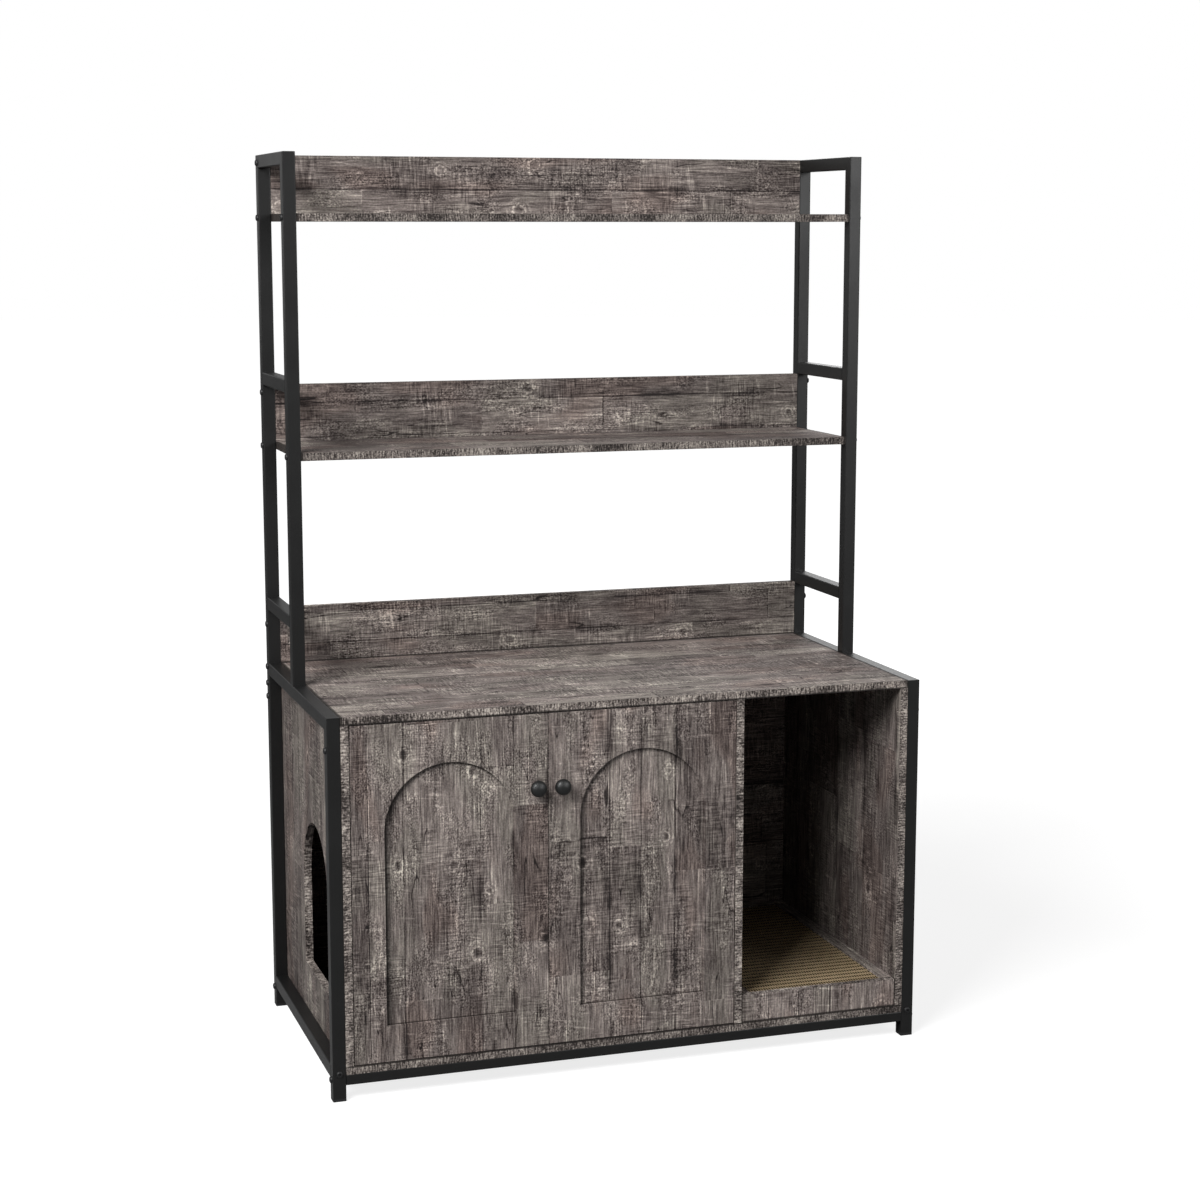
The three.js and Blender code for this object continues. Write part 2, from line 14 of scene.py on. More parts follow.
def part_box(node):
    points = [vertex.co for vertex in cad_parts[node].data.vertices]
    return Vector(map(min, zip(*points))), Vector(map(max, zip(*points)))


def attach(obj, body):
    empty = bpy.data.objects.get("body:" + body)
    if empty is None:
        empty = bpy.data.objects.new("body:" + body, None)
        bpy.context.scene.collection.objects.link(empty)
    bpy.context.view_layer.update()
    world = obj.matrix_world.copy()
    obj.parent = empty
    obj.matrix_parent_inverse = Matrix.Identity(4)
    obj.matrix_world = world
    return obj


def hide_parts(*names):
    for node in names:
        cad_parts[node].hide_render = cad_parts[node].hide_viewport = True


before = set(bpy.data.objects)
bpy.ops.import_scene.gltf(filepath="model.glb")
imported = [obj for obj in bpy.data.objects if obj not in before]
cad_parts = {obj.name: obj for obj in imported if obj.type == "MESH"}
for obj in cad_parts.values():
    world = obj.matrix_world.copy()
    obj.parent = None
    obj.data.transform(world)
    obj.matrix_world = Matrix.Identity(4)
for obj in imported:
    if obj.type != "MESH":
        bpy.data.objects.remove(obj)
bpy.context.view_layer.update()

LOG = logging.getLogger("litter_cabinet")
MM = 0.001
WHITE = (1.0, 1.0, 1.0, 1.0)

Socket = bpy.types.NodeSocket
Node = bpy.types.Node
Mesh = bmesh.types.BMesh
Vert = bmesh.types.BMVert
Source = Socket | float | Sequence[float]
Point = tuple[float, float, float]


class Axis(Enum):
    """An axis of the cabinet: X across the width, Y towards the back, Z up."""

    X = 0
    Y = 1
    Z = 2


# A line of painted shade along a joint: the axis across it, its place and its reach, in metres.
JointShade = tuple[Axis, float, float]


def tone(code: str) -> tuple[float, float, float, float]:
    """Turns a display colour such as "6f6762" into a linear colour with alpha."""
    parts = [int(code[i : i + 2], 16) / 255 for i in (0, 2, 4)]
    linear = [p / 12.92 if p <= 0.04045 else ((p + 0.055) / 1.055) ** 2.4 for p in parts]
    return (linear[0], linear[1], linear[2], 1.0)


# ---- Node wiring ---------------------------------------------------------------------------


@dataclass
class Wiring:
    """Adds nodes to one tree and joins their sockets."""

    tree: bpy.types.NodeTree

    def feed(self, socket: Socket, value: Source) -> None:
        """Links a socket to the value, or sets it where the value is a number or a colour."""
        if isinstance(value, Socket):
            self.tree.links.new(value, socket)
        else:
            socket.default_value = value

    def feed_all(self, node: Node, values: Mapping[str | int, Source]) -> None:
        """Feeds several inputs of a node, by name or by place."""
        for key, value in values.items():
            self.feed(node.inputs[key], value)

    def add(
        self,
        kind: str,
        inputs: Mapping[str | int, Source] | None = None,
        **settings: object,
    ) -> Node:
        """Makes a node.

        Args:
            kind: The node's type.
            inputs: Values or sockets for its inputs, by name or by place.
            **settings: Properties of the node itself.

        Returns:
            The new node.
        """
        node = self.tree.nodes.new(kind)
        for name, value in settings.items():
            setattr(node, name, value)
        self.feed_all(node, inputs or {})
        return node

    def group(self, tree: bpy.types.NodeTree, inputs: Mapping[str | int, Source]) -> Node:
        """Adds a node group with its inputs fed."""
        return self.add("ShaderNodeGroup", inputs, node_tree=tree)

    def math(self, operation: str, *terms: Source, clamp: bool = False) -> Socket:
        """Puts one Math node on up to three numbers and returns its result."""
        node = self.add("ShaderNodeMath", dict(enumerate(terms)), operation=operation)
        node.use_clamp = clamp
        return node.outputs[0]

    def plus(self, *terms: Source) -> Socket:
        """Adds up two or more numbers."""
        total = terms[0]
        for term in terms[1:]:
            total = self.math("ADD", total, term)
        return total

    def minus(self, first: Source, second: Source) -> Socket:
        """Takes the second number from the first."""
        return self.math("SUBTRACT", first, second)

    def centred(self, value: Source) -> Socket:
        """Moves noise around 0.5 to around 0."""
        return self.math("ADD", value, -0.5)

    def times(self, *terms: Source) -> Socket:
        """Multiplies two or more numbers."""
        product = terms[0]
        for term in terms[1:]:
            product = self.math("MULTIPLY", product, term)
        return product

    def rise(self, value: Source, low: float, high: float) -> Socket:
        """Goes smoothly from 0 at low to 1 at high; with low above high it falls instead."""
        if low < high:
            terms = {"Value": value, "From Min": low, "From Max": high}
        else:
            terms = {"Value": value, "From Min": high, "From Max": low, "To Min": 1.0, "To Max": 0.0}
        node = self.add("ShaderNodeMapRange", terms, interpolation_type="SMOOTHSTEP")
        return node.outputs["Result"]

    def point(self, x: Source, y: Source, z: Source = 0.0) -> Socket:
        """Joins three numbers into a vector."""
        return self.add("ShaderNodeCombineXYZ", {0: x, 1: y, 2: z}).outputs[0]

    def parts(self, vector: Source) -> tuple[Socket, ...]:
        """Splits a vector into its three numbers."""
        node = self.add("ShaderNodeSeparateXYZ", {0: vector})
        return tuple(node.outputs)

    def noise(self, vector: Source, detail: float = 2.0, roughness: float = 0.5) -> Socket:
        """Noise of one unit's size, around 0.5, at a vector that is scaled already."""
        terms = {"Vector": vector, "Scale": 1.0, "Detail": detail, "Roughness": roughness}
        return self.add("ShaderNodeTexNoise", terms).outputs[0]

    def spots(self, place: Sequence[Source], size: tuple[float, float], detail: float = 2.0) -> Socket:
        """Noise around 0.5 with spots of a length and a width.

        Args:
            place: Along and across the spots in millimetres, and the layer of the noise.
            size: The spots' length and width in millimetres.
            detail: How many finer layers the noise has.

        Returns:
            The noise's socket.
        """
        along, across, layer = place
        where = self.point(self.times(along, 1 / size[0]), self.times(across, 1 / size[1]), layer)
        return self.noise(where, detail)

    def ridge(self, value: Source, middle: float, width: float) -> Socket:
        """Is 1 where a value passes the middle and falls to 0 at the width on each side."""
        away = self.math("ABSOLUTE", self.minus(value, middle))
        return self.rise(away, width, width * 0.15)

    def mix(self, share: Source, first: Source, second: Source, blend: str = "MIX") -> Socket:
        """Lays the second colour over the first by the share, blended as named."""
        node = self.add("ShaderNodeMix", {0: share, 6: first, 7: second}, data_type="RGBA")
        node.blend_type = blend
        return node.outputs[2]

    def dim(self, color: Source, level: Source) -> Socket:
        """Multiplies a colour by a number."""
        fixed = isinstance(level, float)
        gray = (level, level, level, 1.0) if fixed else self.point(level, level, level)
        return self.mix(1.0, color, gray, "MULTIPLY")

    def bump(self, height: Source, strength: float, distance: float) -> Socket:
        """Turns a height into a normal; the distance is in metres."""
        terms = {"Height": height, "Strength": strength, "Distance": distance}
        return self.add("ShaderNodeBump", terms).outputs[0]

    def either(self, share: Source, first: Source, second: Source) -> Socket:
        """Goes from the first number to the second by the share."""
        return self.add("ShaderNodeMix", {0: share, 2: first, 3: second}).outputs[0]

    def ramp(self, value: Source, stops: Iterable[tuple[float, str]]) -> Socket:
        """Reads a colour from stops of (place, colour code)."""
        node = self.add("ShaderNodeValToRGB", {0: value})
        elements = node.color_ramp.elements
        for index, (place, code) in enumerate(stops):
            element = elements[index] if index < 2 else elements.new(place)
            element.position = place
            element.color = tone(code)
        return node.outputs[0]


@dataclass
class Effect:
    """A shader node group with named inputs and outputs."""

    name: str
    inputs: Mapping[str, tuple[str, float]]
    outputs: Mapping[str, str]

    def build(self, fill: Callable[[Wiring, Node, Node], None]) -> bpy.types.NodeTree:
        """Makes the group.

        Args:
            fill: Wires the inside between the group's input and output nodes.

        Returns:
            The node group.
        """
        tree = bpy.data.node_groups.new(self.name, "ShaderNodeTree")
        for name, (kind, default) in self.inputs.items():
            socket = tree.interface.new_socket(name, in_out="INPUT", socket_type=kind)
            if kind == "NodeSocketFloat":
                socket.default_value = default
        for name, kind in self.outputs.items():
            tree.interface.new_socket(name, in_out="OUTPUT", socket_type=kind)
        wiring = Wiring(tree)
        fill(wiring, wiring.add("NodeGroupInput"), wiring.add("NodeGroupOutput"))
        return tree


FLOAT = "NodeSocketFloat"
VECTOR = "NodeSocketVector"
COLOR = "NodeSocketColor"


def fill_plank_print(w: Wiring, given: Node, out: Node) -> None:
    """Wires the weathered plank print: planks, fibres, knots, saw marks, grit and cracks.

    Args:
        w: The group's wiring.
        given: The group input node: a place along and across the grain in metres, and a seed.
        out: The group output node: colour, roughness and height.
    """
    along, across, depth = w.parts(given.outputs["Place"])
    seed = given.outputs["Seed"]
    u = w.plus(w.times(along, 1000.0), w.times(seed, 311.0))
    v = w.plus(w.times(across, 1000.0), w.times(seed, 173.0))
    layer = w.plus(w.times(depth, 9.0), seed)

    def spots(length: float, width: float, offset: float, detail: float = 1.0) -> Socket:
        """Noise around 0.5 with spots of a length along and a width across the grain."""
        return w.spots((u, v, w.plus(layer, offset)), (length, width), detail)

    def patches(length: float, width: float, offset: float, low: float, high: float) -> Socket:
        """Soft-edged patches: 0 where such spots are below low, 1 where they are above high."""
        return w.rise(spots(length, width, offset), low, high)

    # Planks of uneven width, each cut to lengths of its own
    plank_width, plank_length = given.outputs["Plank Width"], given.outputs["Plank Length"]
    even = w.math("DIVIDE", v, plank_width)
    uneven = w.plus(even, w.times(w.math("SINE", w.times(even, 2.1)), 0.3))
    row = w.math("FLOOR", uneven)
    side = w.math("FRACT", uneven)
    row_seed = w.plus(row, w.times(seed, 7.0))
    row_dice = w.add("ShaderNodeTexWhiteNoise", {"W": row_seed}, noise_dimensions="1D")
    lengths = w.plus(w.math("DIVIDE", u, plank_length), w.times(row_dice.outputs[0], 4.7))
    end = w.math("FRACT", lengths)
    dice = w.add("ShaderNodeTexWhiteNoise", {"Vector": w.point(row, w.math("FLOOR", lengths), seed)})
    chance, tint, shade = w.parts(dice.outputs["Color"])

    # Knots push the fibres aside
    cell_u, cell_v = 150.0, 100.0
    cells = w.point(w.math("DIVIDE", u, cell_u), w.math("DIVIDE", v, cell_v))
    terms = {"Vector": cells, "Scale": 1.0}
    knots = w.add("ShaderNodeTexVoronoi", terms, voronoi_dimensions="2D")
    knot_x, knot_y, _ = w.parts(knots.outputs["Position"])
    du = w.minus(u, w.times(knot_x, cell_u))
    dv = w.minus(v, w.times(knot_y, cell_v))
    knot_dice, knot_size, knot_dark = w.parts(knots.outputs["Color"])
    present = w.rise(knot_dice, 0.46, 0.5)
    spread = w.plus(
        w.math("POWER", w.math("DIVIDE", du, 27.0), 2.0),
        w.math("POWER", w.math("DIVIDE", dv, 12.0), 2.0),
    )
    push = w.times(dv, w.math("EXPONENT", w.times(spread, -1.0)), present, 0.6)
    sway = w.times(w.centred(w.spots((u, v, layer), (260.0, 70.0))), 9.0)
    fibre = w.plus(v, w.times(push, -1.0), sway)
    fibre_seed = w.plus(layer, w.times(chance, 9.0))

    def fibres(length: float, width: float, offset: float, detail: float = 1.0) -> Socket:
        """Noise around 0.5 drawn out along the fibres."""
        return w.spots((u, fibre, w.plus(fibre_seed, offset)), (length, width), detail)

    # Long straight fibres, from hair lines to broad bands, and each plank's own shade
    fine = fibres(26.0, 1.9, 0.0)
    lines = w.centred(w.spots((u, v, fibre_seed), (330.0, 1.9)))
    light = w.plus(
        0.47,
        w.times(w.centred(fine), 0.72),
        w.times(lines, patches(170.0, 34.0, 13.0, 0.44, 0.58), 0.55),
        w.times(w.centred(fibres(60.0, 4.5, 3.0, 2.0)), 0.42),
        w.times(w.centred(fibres(170.0, 15.0, 6.0)), 0.28),
        w.times(w.centred(spots(80.0, 46.0, 4.0, 2.0)), 0.36),
        w.times(w.centred(shade), 0.2),
    )

    # Grit everywhere and more of it in patches, and cross threads left by the saw
    gritty = w.either(patches(75.0, 30.0, 11.0, 0.47, 0.6), 0.38, 1.15)
    light = w.plus(light, w.times(w.centred(spots(2.9, 2.3, 0.0)), gritty))
    threads = w.centred(spots(2.3, 24.0, 17.0))
    light = w.plus(light, w.times(threads, patches(90.0, 70.0, 19.0, 0.46, 0.56), 0.7))
    sawn = w.plus(u, w.times(v, 0.1))
    marks = w.rise(w.spots((sawn, v, layer), (4.4, 46.0)), 0.6, 0.72)
    light = w.plus(light, w.times(marks, patches(95.0, 60.0, 23.0, 0.48, 0.56), 0.22))

    # Fine pale streaks and scratches, and dark cracks along the fibres
    streak = w.rise(w.spots((u, v, w.plus(layer, 77.0)), (75.0, 1.7)), 0.62, 0.74)
    light = w.plus(light, w.times(streak, patches(130.0, 30.0, 57.0, 0.45, 0.58), 0.3))
    scratch = w.ridge(fibres(150.0, 9.0, 40.0), 0.5, 0.022)
    light = w.plus(light, w.times(scratch, patches(90.0, 30.0, 51.0, 0.5, 0.62), 0.2))
    crack = w.ridge(fibres(170.0, 18.0, 70.0), 0.47, 0.014)
    light = w.plus(light, w.times(crack, patches(110.0, 40.0, 83.0, 0.55, 0.62), -0.42))

    # Knots: broken pale rings round a heart that is dark in some of them
    ragged = w.times(w.centred(spots(7.0, 7.0, 29.0)), 6.0)
    reach = w.math("SQRT", w.plus(w.math("POWER", w.times(du, 0.85), 2.0), w.math("POWER", dv, 2.0)))
    reach = w.math("DIVIDE", w.plus(reach, ragged), w.plus(w.times(knot_size, 4.0), 5.5))
    broken = patches(3.0, 3.0, 33.0, 0.36, 0.6)
    rings = w.plus(w.ridge(reach, 1.0, 0.4), w.times(w.ridge(reach, 1.75, 0.4), 0.6))
    dark_heart = w.rise(knot_dark, 0.45, 0.55)
    heart = w.times(w.rise(reach, 0.8, 0.3), w.either(dark_heart, -0.04, -0.2))
    light = w.plus(light, w.times(w.plus(w.times(rings, broken, 0.34), heart), present))

    # Joints between planks, pale or dark
    to_side = w.times(w.math("MINIMUM", side, w.minus(1.0, side)), plank_width)
    jag = w.times(w.centred(spots(9.0, 6.0, 37.0)), 5.0)
    end_gap = w.times(w.math("MINIMUM", end, w.minus(1.0, end)), plank_length)
    to_end = w.math("ABSOLUTE", w.plus(end_gap, jag))
    smudge = w.times(w.rise(to_side, 11.0, 1.0), patches(70.0, 40.0, 45.0, 0.46, 0.62))
    side_joint = w.times(w.rise(to_side, 1.5, 0.5), patches(80.0, 40.0, 41.0, 0.36, 0.5))
    side_gleam = w.times(w.ridge(to_side, 2.6, 1.5), patches(50.0, 40.0, 43.0, 0.45, 0.6), 0.2)
    end_light = w.either(w.rise(tint, 0.45, 0.55), 0.16, -0.3)
    end_joint = w.times(w.rise(to_end, 1.9, 0.4), end_light, patches(40.0, 22.0, 47.0, 0.45, 0.58))
    light = w.plus(light, w.times(side_joint, -0.24), side_gleam, end_joint, w.times(smudge, -0.2))

    # Gray print, greener in some planks and redder in others
    grays = [(0.0, "1d1817"), (1.0, "d8cdc2"), (0.25, "433b39"), (0.5, "6f6662"), (0.72, "958b85")]
    color = w.ramp(light, [*grays, (0.88, "b7aca3")])
    toned = w.plus(spots(160.0, 60.0, 61.0), w.times(w.centred(shade), 0.2))
    color = w.mix(w.rise(toned, 0.5, 0.64), color, (0.97, 1.0, 0.975, 1.0), "MULTIPLY")
    color = w.mix(w.rise(toned, 0.46, 0.34), color, (1.015, 0.955, 0.935, 1.0), "MULTIPLY")
    roughness = w.plus(0.72, w.times(w.centred(light), -0.12))
    height = w.plus(fine, w.times(side_joint, -0.8))
    w.feed_all(out, {"Color": color, "Roughness": roughness, "Height": height})


def fill_edge_band(w: Wiring, given: Node, out: Node) -> None:
    """Wires the banding on board edges: short pale dashes that run across the thickness.

    Args:
        w: The group's wiring.
        given: The group input node: a place along the edge and across it in metres, and a seed.
        out: The group output node: colour and height.
    """
    along, across, _ = w.parts(given.outputs["Place"])
    seed = given.outputs["Seed"]
    u = w.times(along, 1000.0)
    v = w.times(across, 1000.0)

    def spots(length: float, width: float, offset: float, detail: float = 2.0) -> Socket:
        """Noise around 0 with spots of a length along the edge and a width across it."""
        return w.centred(w.spots((u, v, w.plus(seed, offset)), (length, width), detail))

    drift = w.times(w.spots((u, v, w.plus(seed, 3.0)), (14.0, 9.0)), 9.0)
    comb = w.math("SINE", w.plus(w.times(u, 1.32), drift))
    light = w.plus(
        0.5,
        w.times(spots(1.9, 9.0, 0.0, 1.0), 1.3),
        w.times(comb, 0.06),
        w.times(spots(2.8, 2.4, 5.0, 1.0), 1.05),
        w.times(spots(60.0, 40.0, 9.0), 1.2),
    )
    grays = [(0.0, "1b1614"), (1.0, "c2b9af"), (0.32, "3e3835"), (0.52, "6a625e"), (0.76, "958c85")]
    w.feed_all(out, {"Color": w.ramp(light, grays), "Height": light})


def fill_speckle(w: Wiring, given: Node, out: Node) -> None:
    """Wires a fine grain and a slow cloud that many finishes share.

    Args:
        w: The group's wiring.
        given: The group input node: a place in metres, the grain and the cloud in millimetres.
        out: The group output node: grain and cloud around zero.
    """
    parts = w.parts(given.outputs["Place"])

    def field_of(size: Socket, detail: float) -> Socket:
        """Noise with one size all ways, around zero."""
        scale = w.math("DIVIDE", 1000.0, size)
        place = w.point(*(w.times(part, scale) for part in parts))
        return w.centred(w.noise(place, detail))

    grain = field_of(given.outputs["Grain Size"], 1.0)
    w.feed_all(out, {"Grain": grain, "Cloud": field_of(given.outputs["Cloud Size"], 2.0)})


PLANK_SIZES = {"Plank Width": 74.0, "Plank Length": 210.0}
SPOT = {"Place": (VECTOR, 0.0), "Seed": (FLOAT, 0.0)}
PLANK_PRINT = Effect(
    "plank_print",
    {**SPOT, **{name: (FLOAT, size) for name, size in PLANK_SIZES.items()}},
    {"Color": COLOR, "Roughness": FLOAT, "Height": FLOAT},
).build(fill_plank_print)
EDGE_BAND = Effect("edge_band", SPOT, {"Color": COLOR, "Height": FLOAT}).build(fill_edge_band)
GRAIN = {"Place": (VECTOR, 0.0), "Grain Size": (FLOAT, 0.5), "Cloud Size": (FLOAT, 40.0)}
SPECKLE = Effect("speckle", GRAIN, {"Grain": FLOAT, "Cloud": FLOAT}).build(fill_speckle)


# ---- Finishes ------------------------------------------------------------------------------


@dataclass(frozen=True)
class Finish:
    """One finish of the cabinet.

    Attributes:
        name: The material's name.
    """

    name: str

    def dress(self, w: Wiring, shader: Node, place: Node) -> None:
        """Wires the surface. Each finish has its own.

        Args:
            w: The material's wiring.
            shader: The material's Principled shader.
            place: The Texture Coordinate node.
        """
        raise NotImplementedError

    def build(self) -> bpy.types.Material:
        """Makes the material, or gives it back where it is made already."""
        made = bpy.data.materials.get(self.name)
        if made is not None:
            return made
        material = bpy.data.materials.new(self.name)
        material.use_nodes = True
        w = Wiring(material.node_tree)
        shader = material.node_tree.nodes["Principled BSDF"]
        self.dress(w, shader, w.add("ShaderNodeTexCoord"))
        return material


@dataclass(frozen=True)
class ArchRecess:
    """The outline of a recess with an arched top, in metres, and the painted shadow inside it.

    Attributes:
        middle: Its middle across the door.
        spring: Height at which the arch begins.
        radius: Of the arch, and half the recess's width.
        foot: Height of its lower wall.
        shade: How far the painted shadow beside its left wall reaches.
        depth: How dark that painted shadow is there, up to 1.
    """

    middle: float
    spring: float
    radius: float
    foot: float
    shade: float = 0.017
    depth: float = 0.94

    def reach_in(self, w: Wiring, x: Source, z: Source) -> tuple[Socket, Socket]:
        """Gives how far inside the side walls and the lower wall a place is, in metres."""
        across = w.minus(x, self.middle)
        above = w.math("MAXIMUM", w.minus(z, self.spring), 0.0)
        away = w.math("SQRT", w.plus(w.times(across, across), w.times(above, above)))
        return w.minus(self.radius, away), w.minus(z, self.foot)


@dataclass(frozen=True)
class BoardFinish(Finish):
    """Weathered plank print on a board's faces and banding on its edges, with painted light and shade.

    Attributes:
        grain: The axis along which the fibres run.
        thin: The axis across the board's thickness.
        seed: Where in the print the board is cut.
        painted_light: How much lighter or darker the board is painted for the light it gets, 1 being
            none.
        edge_painted_light: The same painted light for its banding.
        joint_shades: Lines of painted shade where something meets this board: the axis across each,
        its place and its reach on each side, in metres.
        recess: The recess cut into a door, where there is one, with painted shade on its floor and
            walls.
    """

    grain: Axis
    thin: Axis
    seed: float
    painted_light: float
    edge_painted_light: float
    joint_shades: tuple[JointShade, ...] = ()
    recess: ArchRecess | None = None

    def grooved(
        self,
        w: Wiring,
        xyz: Sequence[Socket],
        on_edge: Source,
        colors: tuple[Source, Source],
    ) -> Socket:
        """Paints shade and light on the recess's floor and walls, and lays the banding on the board's
        edges.

        Args:
            w: The material's wiring.
            xyz: The place on the board.
            on_edge: 1 on edges and walls.
            colors: The print's colour and the banding's.

        Returns:
            The board's colour.
        """
        face, banding = colors
        if self.recess is None:
            return w.mix(on_edge, face, banding)
        side, foot = self.recess.reach_in(w, xyz[0], xyz[2])
        inside = w.math("MINIMUM", side, foot)
        across = w.minus(xyz[0], self.recess.middle)
        radius = self.recess.radius
        lit_side = w.rise(across, radius * 0.45, radius * 1.05)

        # Floor: painted shadow beside the left wall, and a thin line of painted shade along the foot
        width = w.either(w.rise(across, -radius, 0.0), self.recess.shade, 0.004)
        beside = w.math("SUBTRACT", 1.0, w.math("DIVIDE", side, width), clamp=True)
        dark = w.times(beside, w.either(lit_side, self.recess.depth, 0.0))
        dark = w.math("MAXIMUM", dark, w.times(w.rise(foot, 0.0026, 0.001), 0.85))
        dark = w.times(dark, w.math("GREATER_THAN", inside, -0.0002))
        shaded = w.mix(dark, face, tone("1d1917"))

        # Walls: painted shade at the left and along the arch, painted light at the right, no painted
        # shade at the foot
        level = w.either(w.rise(foot, 0.0012, 0.0002), w.either(lit_side, 0.26, 1.15), 1.0)
        edge = w.mix(w.math("GREATER_THAN", inside, -0.0015), banding, w.dim(face, level))
        return w.mix(on_edge, shaded, edge)

    def dress(self, w: Wiring, shader: Node, place: Node) -> None:
        """Wires the print, the banding, the painted light and shade, and the fine relief.

        Args:
            w: The material's wiring.
            shader: The material's Principled shader.
            place: The Texture Coordinate node.
        """
        xyz = w.parts(place.outputs["Object"])
        flat = w.add("ShaderNodeNewGeometry").outputs["True Normal"]
        turn = w.add("ShaderNodeVectorTransform", {0: flat}, vector_type="NORMAL")
        turn.convert_from = "WORLD"
        turn.convert_to = "OBJECT"
        facing = w.parts(turn.outputs[0])[self.thin.value]
        third = next(axis for axis in Axis if axis not in (self.grain, self.thin))
        behind = w.math("GREATER_THAN", facing, 0.2)
        along, across = xyz[self.grain.value], xyz[third.value]
        where = w.point(along, across, behind)
        planks = w.group(PLANK_PRINT, {"Place": where, "Seed": self.seed, **PLANK_SIZES}).outputs
        rim = w.point(w.plus(along, across), xyz[self.thin.value])
        band = w.group(EDGE_BAND, {"Place": rim, "Seed": self.seed}).outputs
        on_edge = w.rise(w.math("ABSOLUTE", facing), 0.55, 0.35)
        # Print and banding painted lighter or darker per board for the light each one gets
        colors = (w.dim(planks["Color"], self.painted_light), w.dim(band["Color"], self.edge_painted_light))
        color = self.grooved(w, xyz, on_edge, colors)
        # Painted shade along the joints where other parts meet this board
        joint_shade: Source = 0.0
        for axis, middle, reach in self.joint_shades:
            away = w.math("ABSOLUTE", w.minus(xyz[axis.value], middle))
            joint_shade = w.math("MAXIMUM", joint_shade, w.times(w.rise(away, reach, reach * 0.45), 0.88))
        height = w.either(on_edge, planks["Height"], band["Height"])
        made = {
            "Base Color": w.mix(joint_shade, color, tone("1a1614")),
            "Roughness": planks["Roughness"],
            "Specular IOR Level": 0.2,
            "Normal": w.bump(height, 0.35, 0.0006),
        }
        w.feed_all(shader, made)


@dataclass(frozen=True)
class CoatFinish(Finish):
    """A coat or moulding with fine grain: powder coat, plastic, blackened or plated steel.

    Attributes:
        color: The display colour.
        roughness: The mean roughness.
        specular: The specular level.
        metallic: 1 for bare or plated metal.
        grain: Size of the fine grain in millimetres.
        relief: Height of the grain in millimetres.
        spread: How much the tone varies.
    """

    color: str
    roughness: float
    specular: float = 0.5
    metallic: float = 0.0
    grain: float = 0.7
    relief: float = 0.05
    spread: float = 0.12

    def dress(self, w: Wiring, shader: Node, place: Node) -> None:
        """Wires the tone, the roughness and the relief.

        Args:
            w: The material's wiring.
            shader: The material's Principled shader.
            place: The Texture Coordinate node.
        """
        terms = {"Place": place.outputs["Object"], "Grain Size": self.grain, "Cloud Size": 55.0}
        speckle = w.group(SPECKLE, terms).outputs
        grain, cloud = speckle["Grain"], speckle["Cloud"]
        level = w.plus(1.0, w.times(grain, self.spread), w.times(cloud, self.spread * 2.0))
        made = {
            "Base Color": w.dim(tone(self.color), level),
            "Roughness": w.plus(self.roughness, w.times(cloud, 0.12), w.times(grain, 0.06)),
            "Specular IOR Level": self.specular,
            "Metallic": self.metallic,
            "Normal": w.bump(grain, 0.5, self.relief * MM),
        }
        w.feed_all(shader, made)


@dataclass(frozen=True)
class CardFinish(Finish):
    """Raw corrugated card: tan paper with fibres, and painted shade down in the flutes.

    Attributes:
        low: The left front lower corner of the pad in metres.
        high: The right rear upper corner.
        depth: Depth in metres at which the painted shade in a flute is full.
    """

    low: Point
    high: Point
    depth: float

    def dress(self, w: Wiring, shader: Node, place: Node) -> None:
        """Wires the paper's tone and the painted shade that darkens the flutes with depth.

        Args:
            w: The material's wiring.
            shader: The material's Principled shader.
            place: The Texture Coordinate node.
        """
        x, y, z = w.parts(place.outputs["Object"])
        terms = {"Place": place.outputs["Object"], "Grain Size": 1.1, "Cloud Size": 70.0}
        speckle = w.group(SPECKLE, terms).outputs
        grain, cloud = speckle["Grain"], speckle["Cloud"]
        light = w.plus(0.55, w.times(grain, 0.7), w.times(cloud, 0.5))
        paper = w.ramp(light, [(0.0, "665843"), (1.0, "baa688"), (0.5, "948265")])
        lows = [w.minus(part, edge) for part, edge in zip((x, y), self.low)]
        highs = [w.minus(edge, part) for part, edge in zip((x, y), self.high)]
        inner = w.math("MINIMUM", w.math("MINIMUM", *lows), w.math("MINIMUM", *highs))
        # Painted shade down in the flutes, away from the pad's sides
        down = w.rise(z, self.high[2] - 0.0001, self.high[2] - self.depth)
        dark = w.times(down, w.math("GREATER_THAN", inner, 0.0002))
        made = {
            "Base Color": w.mix(dark, paper, tone("0f0a06")),
            "Roughness": 0.95,
            "Specular IOR Level": 0.1,
            "Normal": w.bump(grain, 0.5, 0.0003),
        }
        w.feed_all(shader, made)


POWDER_COAT = CoatFinish("black_powder_coat", "131313", 0.4, specular=0.3, grain=0.9, relief=0.05)
BLACK_OXIDE = CoatFinish("black_oxide_bolt", "171718", 0.5, specular=0.3, grain=0.4, relief=0.02)
KNOB_BLACK = CoatFinish("knob_satin_black", "0b0c0c", 0.46, specular=0.42, grain=1.2, relief=0.02)
FOOT_BLACK = CoatFinish("foot_cap_plastic", "1d1d1e", 0.58, specular=0.3, grain=0.8, relief=0.08)
CATCH_BLACK = CoatFinish("catch_plastic", "202122", 0.5, specular=0.4, grain=0.6, relief=0.05)
NICKEL = CoatFinish("nickel_plate", "c9c6c0", 0.3, metallic=1.0, grain=0.5, relief=0.01, spread=0.05)
ZINC_SCREW = CoatFinish("zinc_screw", "b9b6b0", 0.34, metallic=1.0, grain=0.4, relief=0.01, spread=0.05)


# ---- Mesh helpers --------------------------------------------------------------------------


def shift_to(origin: Point, toward: Point) -> Matrix:
    """Gives the matrix that stands a +Z form on a point in metres, facing another way."""
    turn = Vector(toward).to_track_quat("Z", "Y").to_matrix().to_4x4()
    return Matrix.Translation(Vector(origin)) @ turn


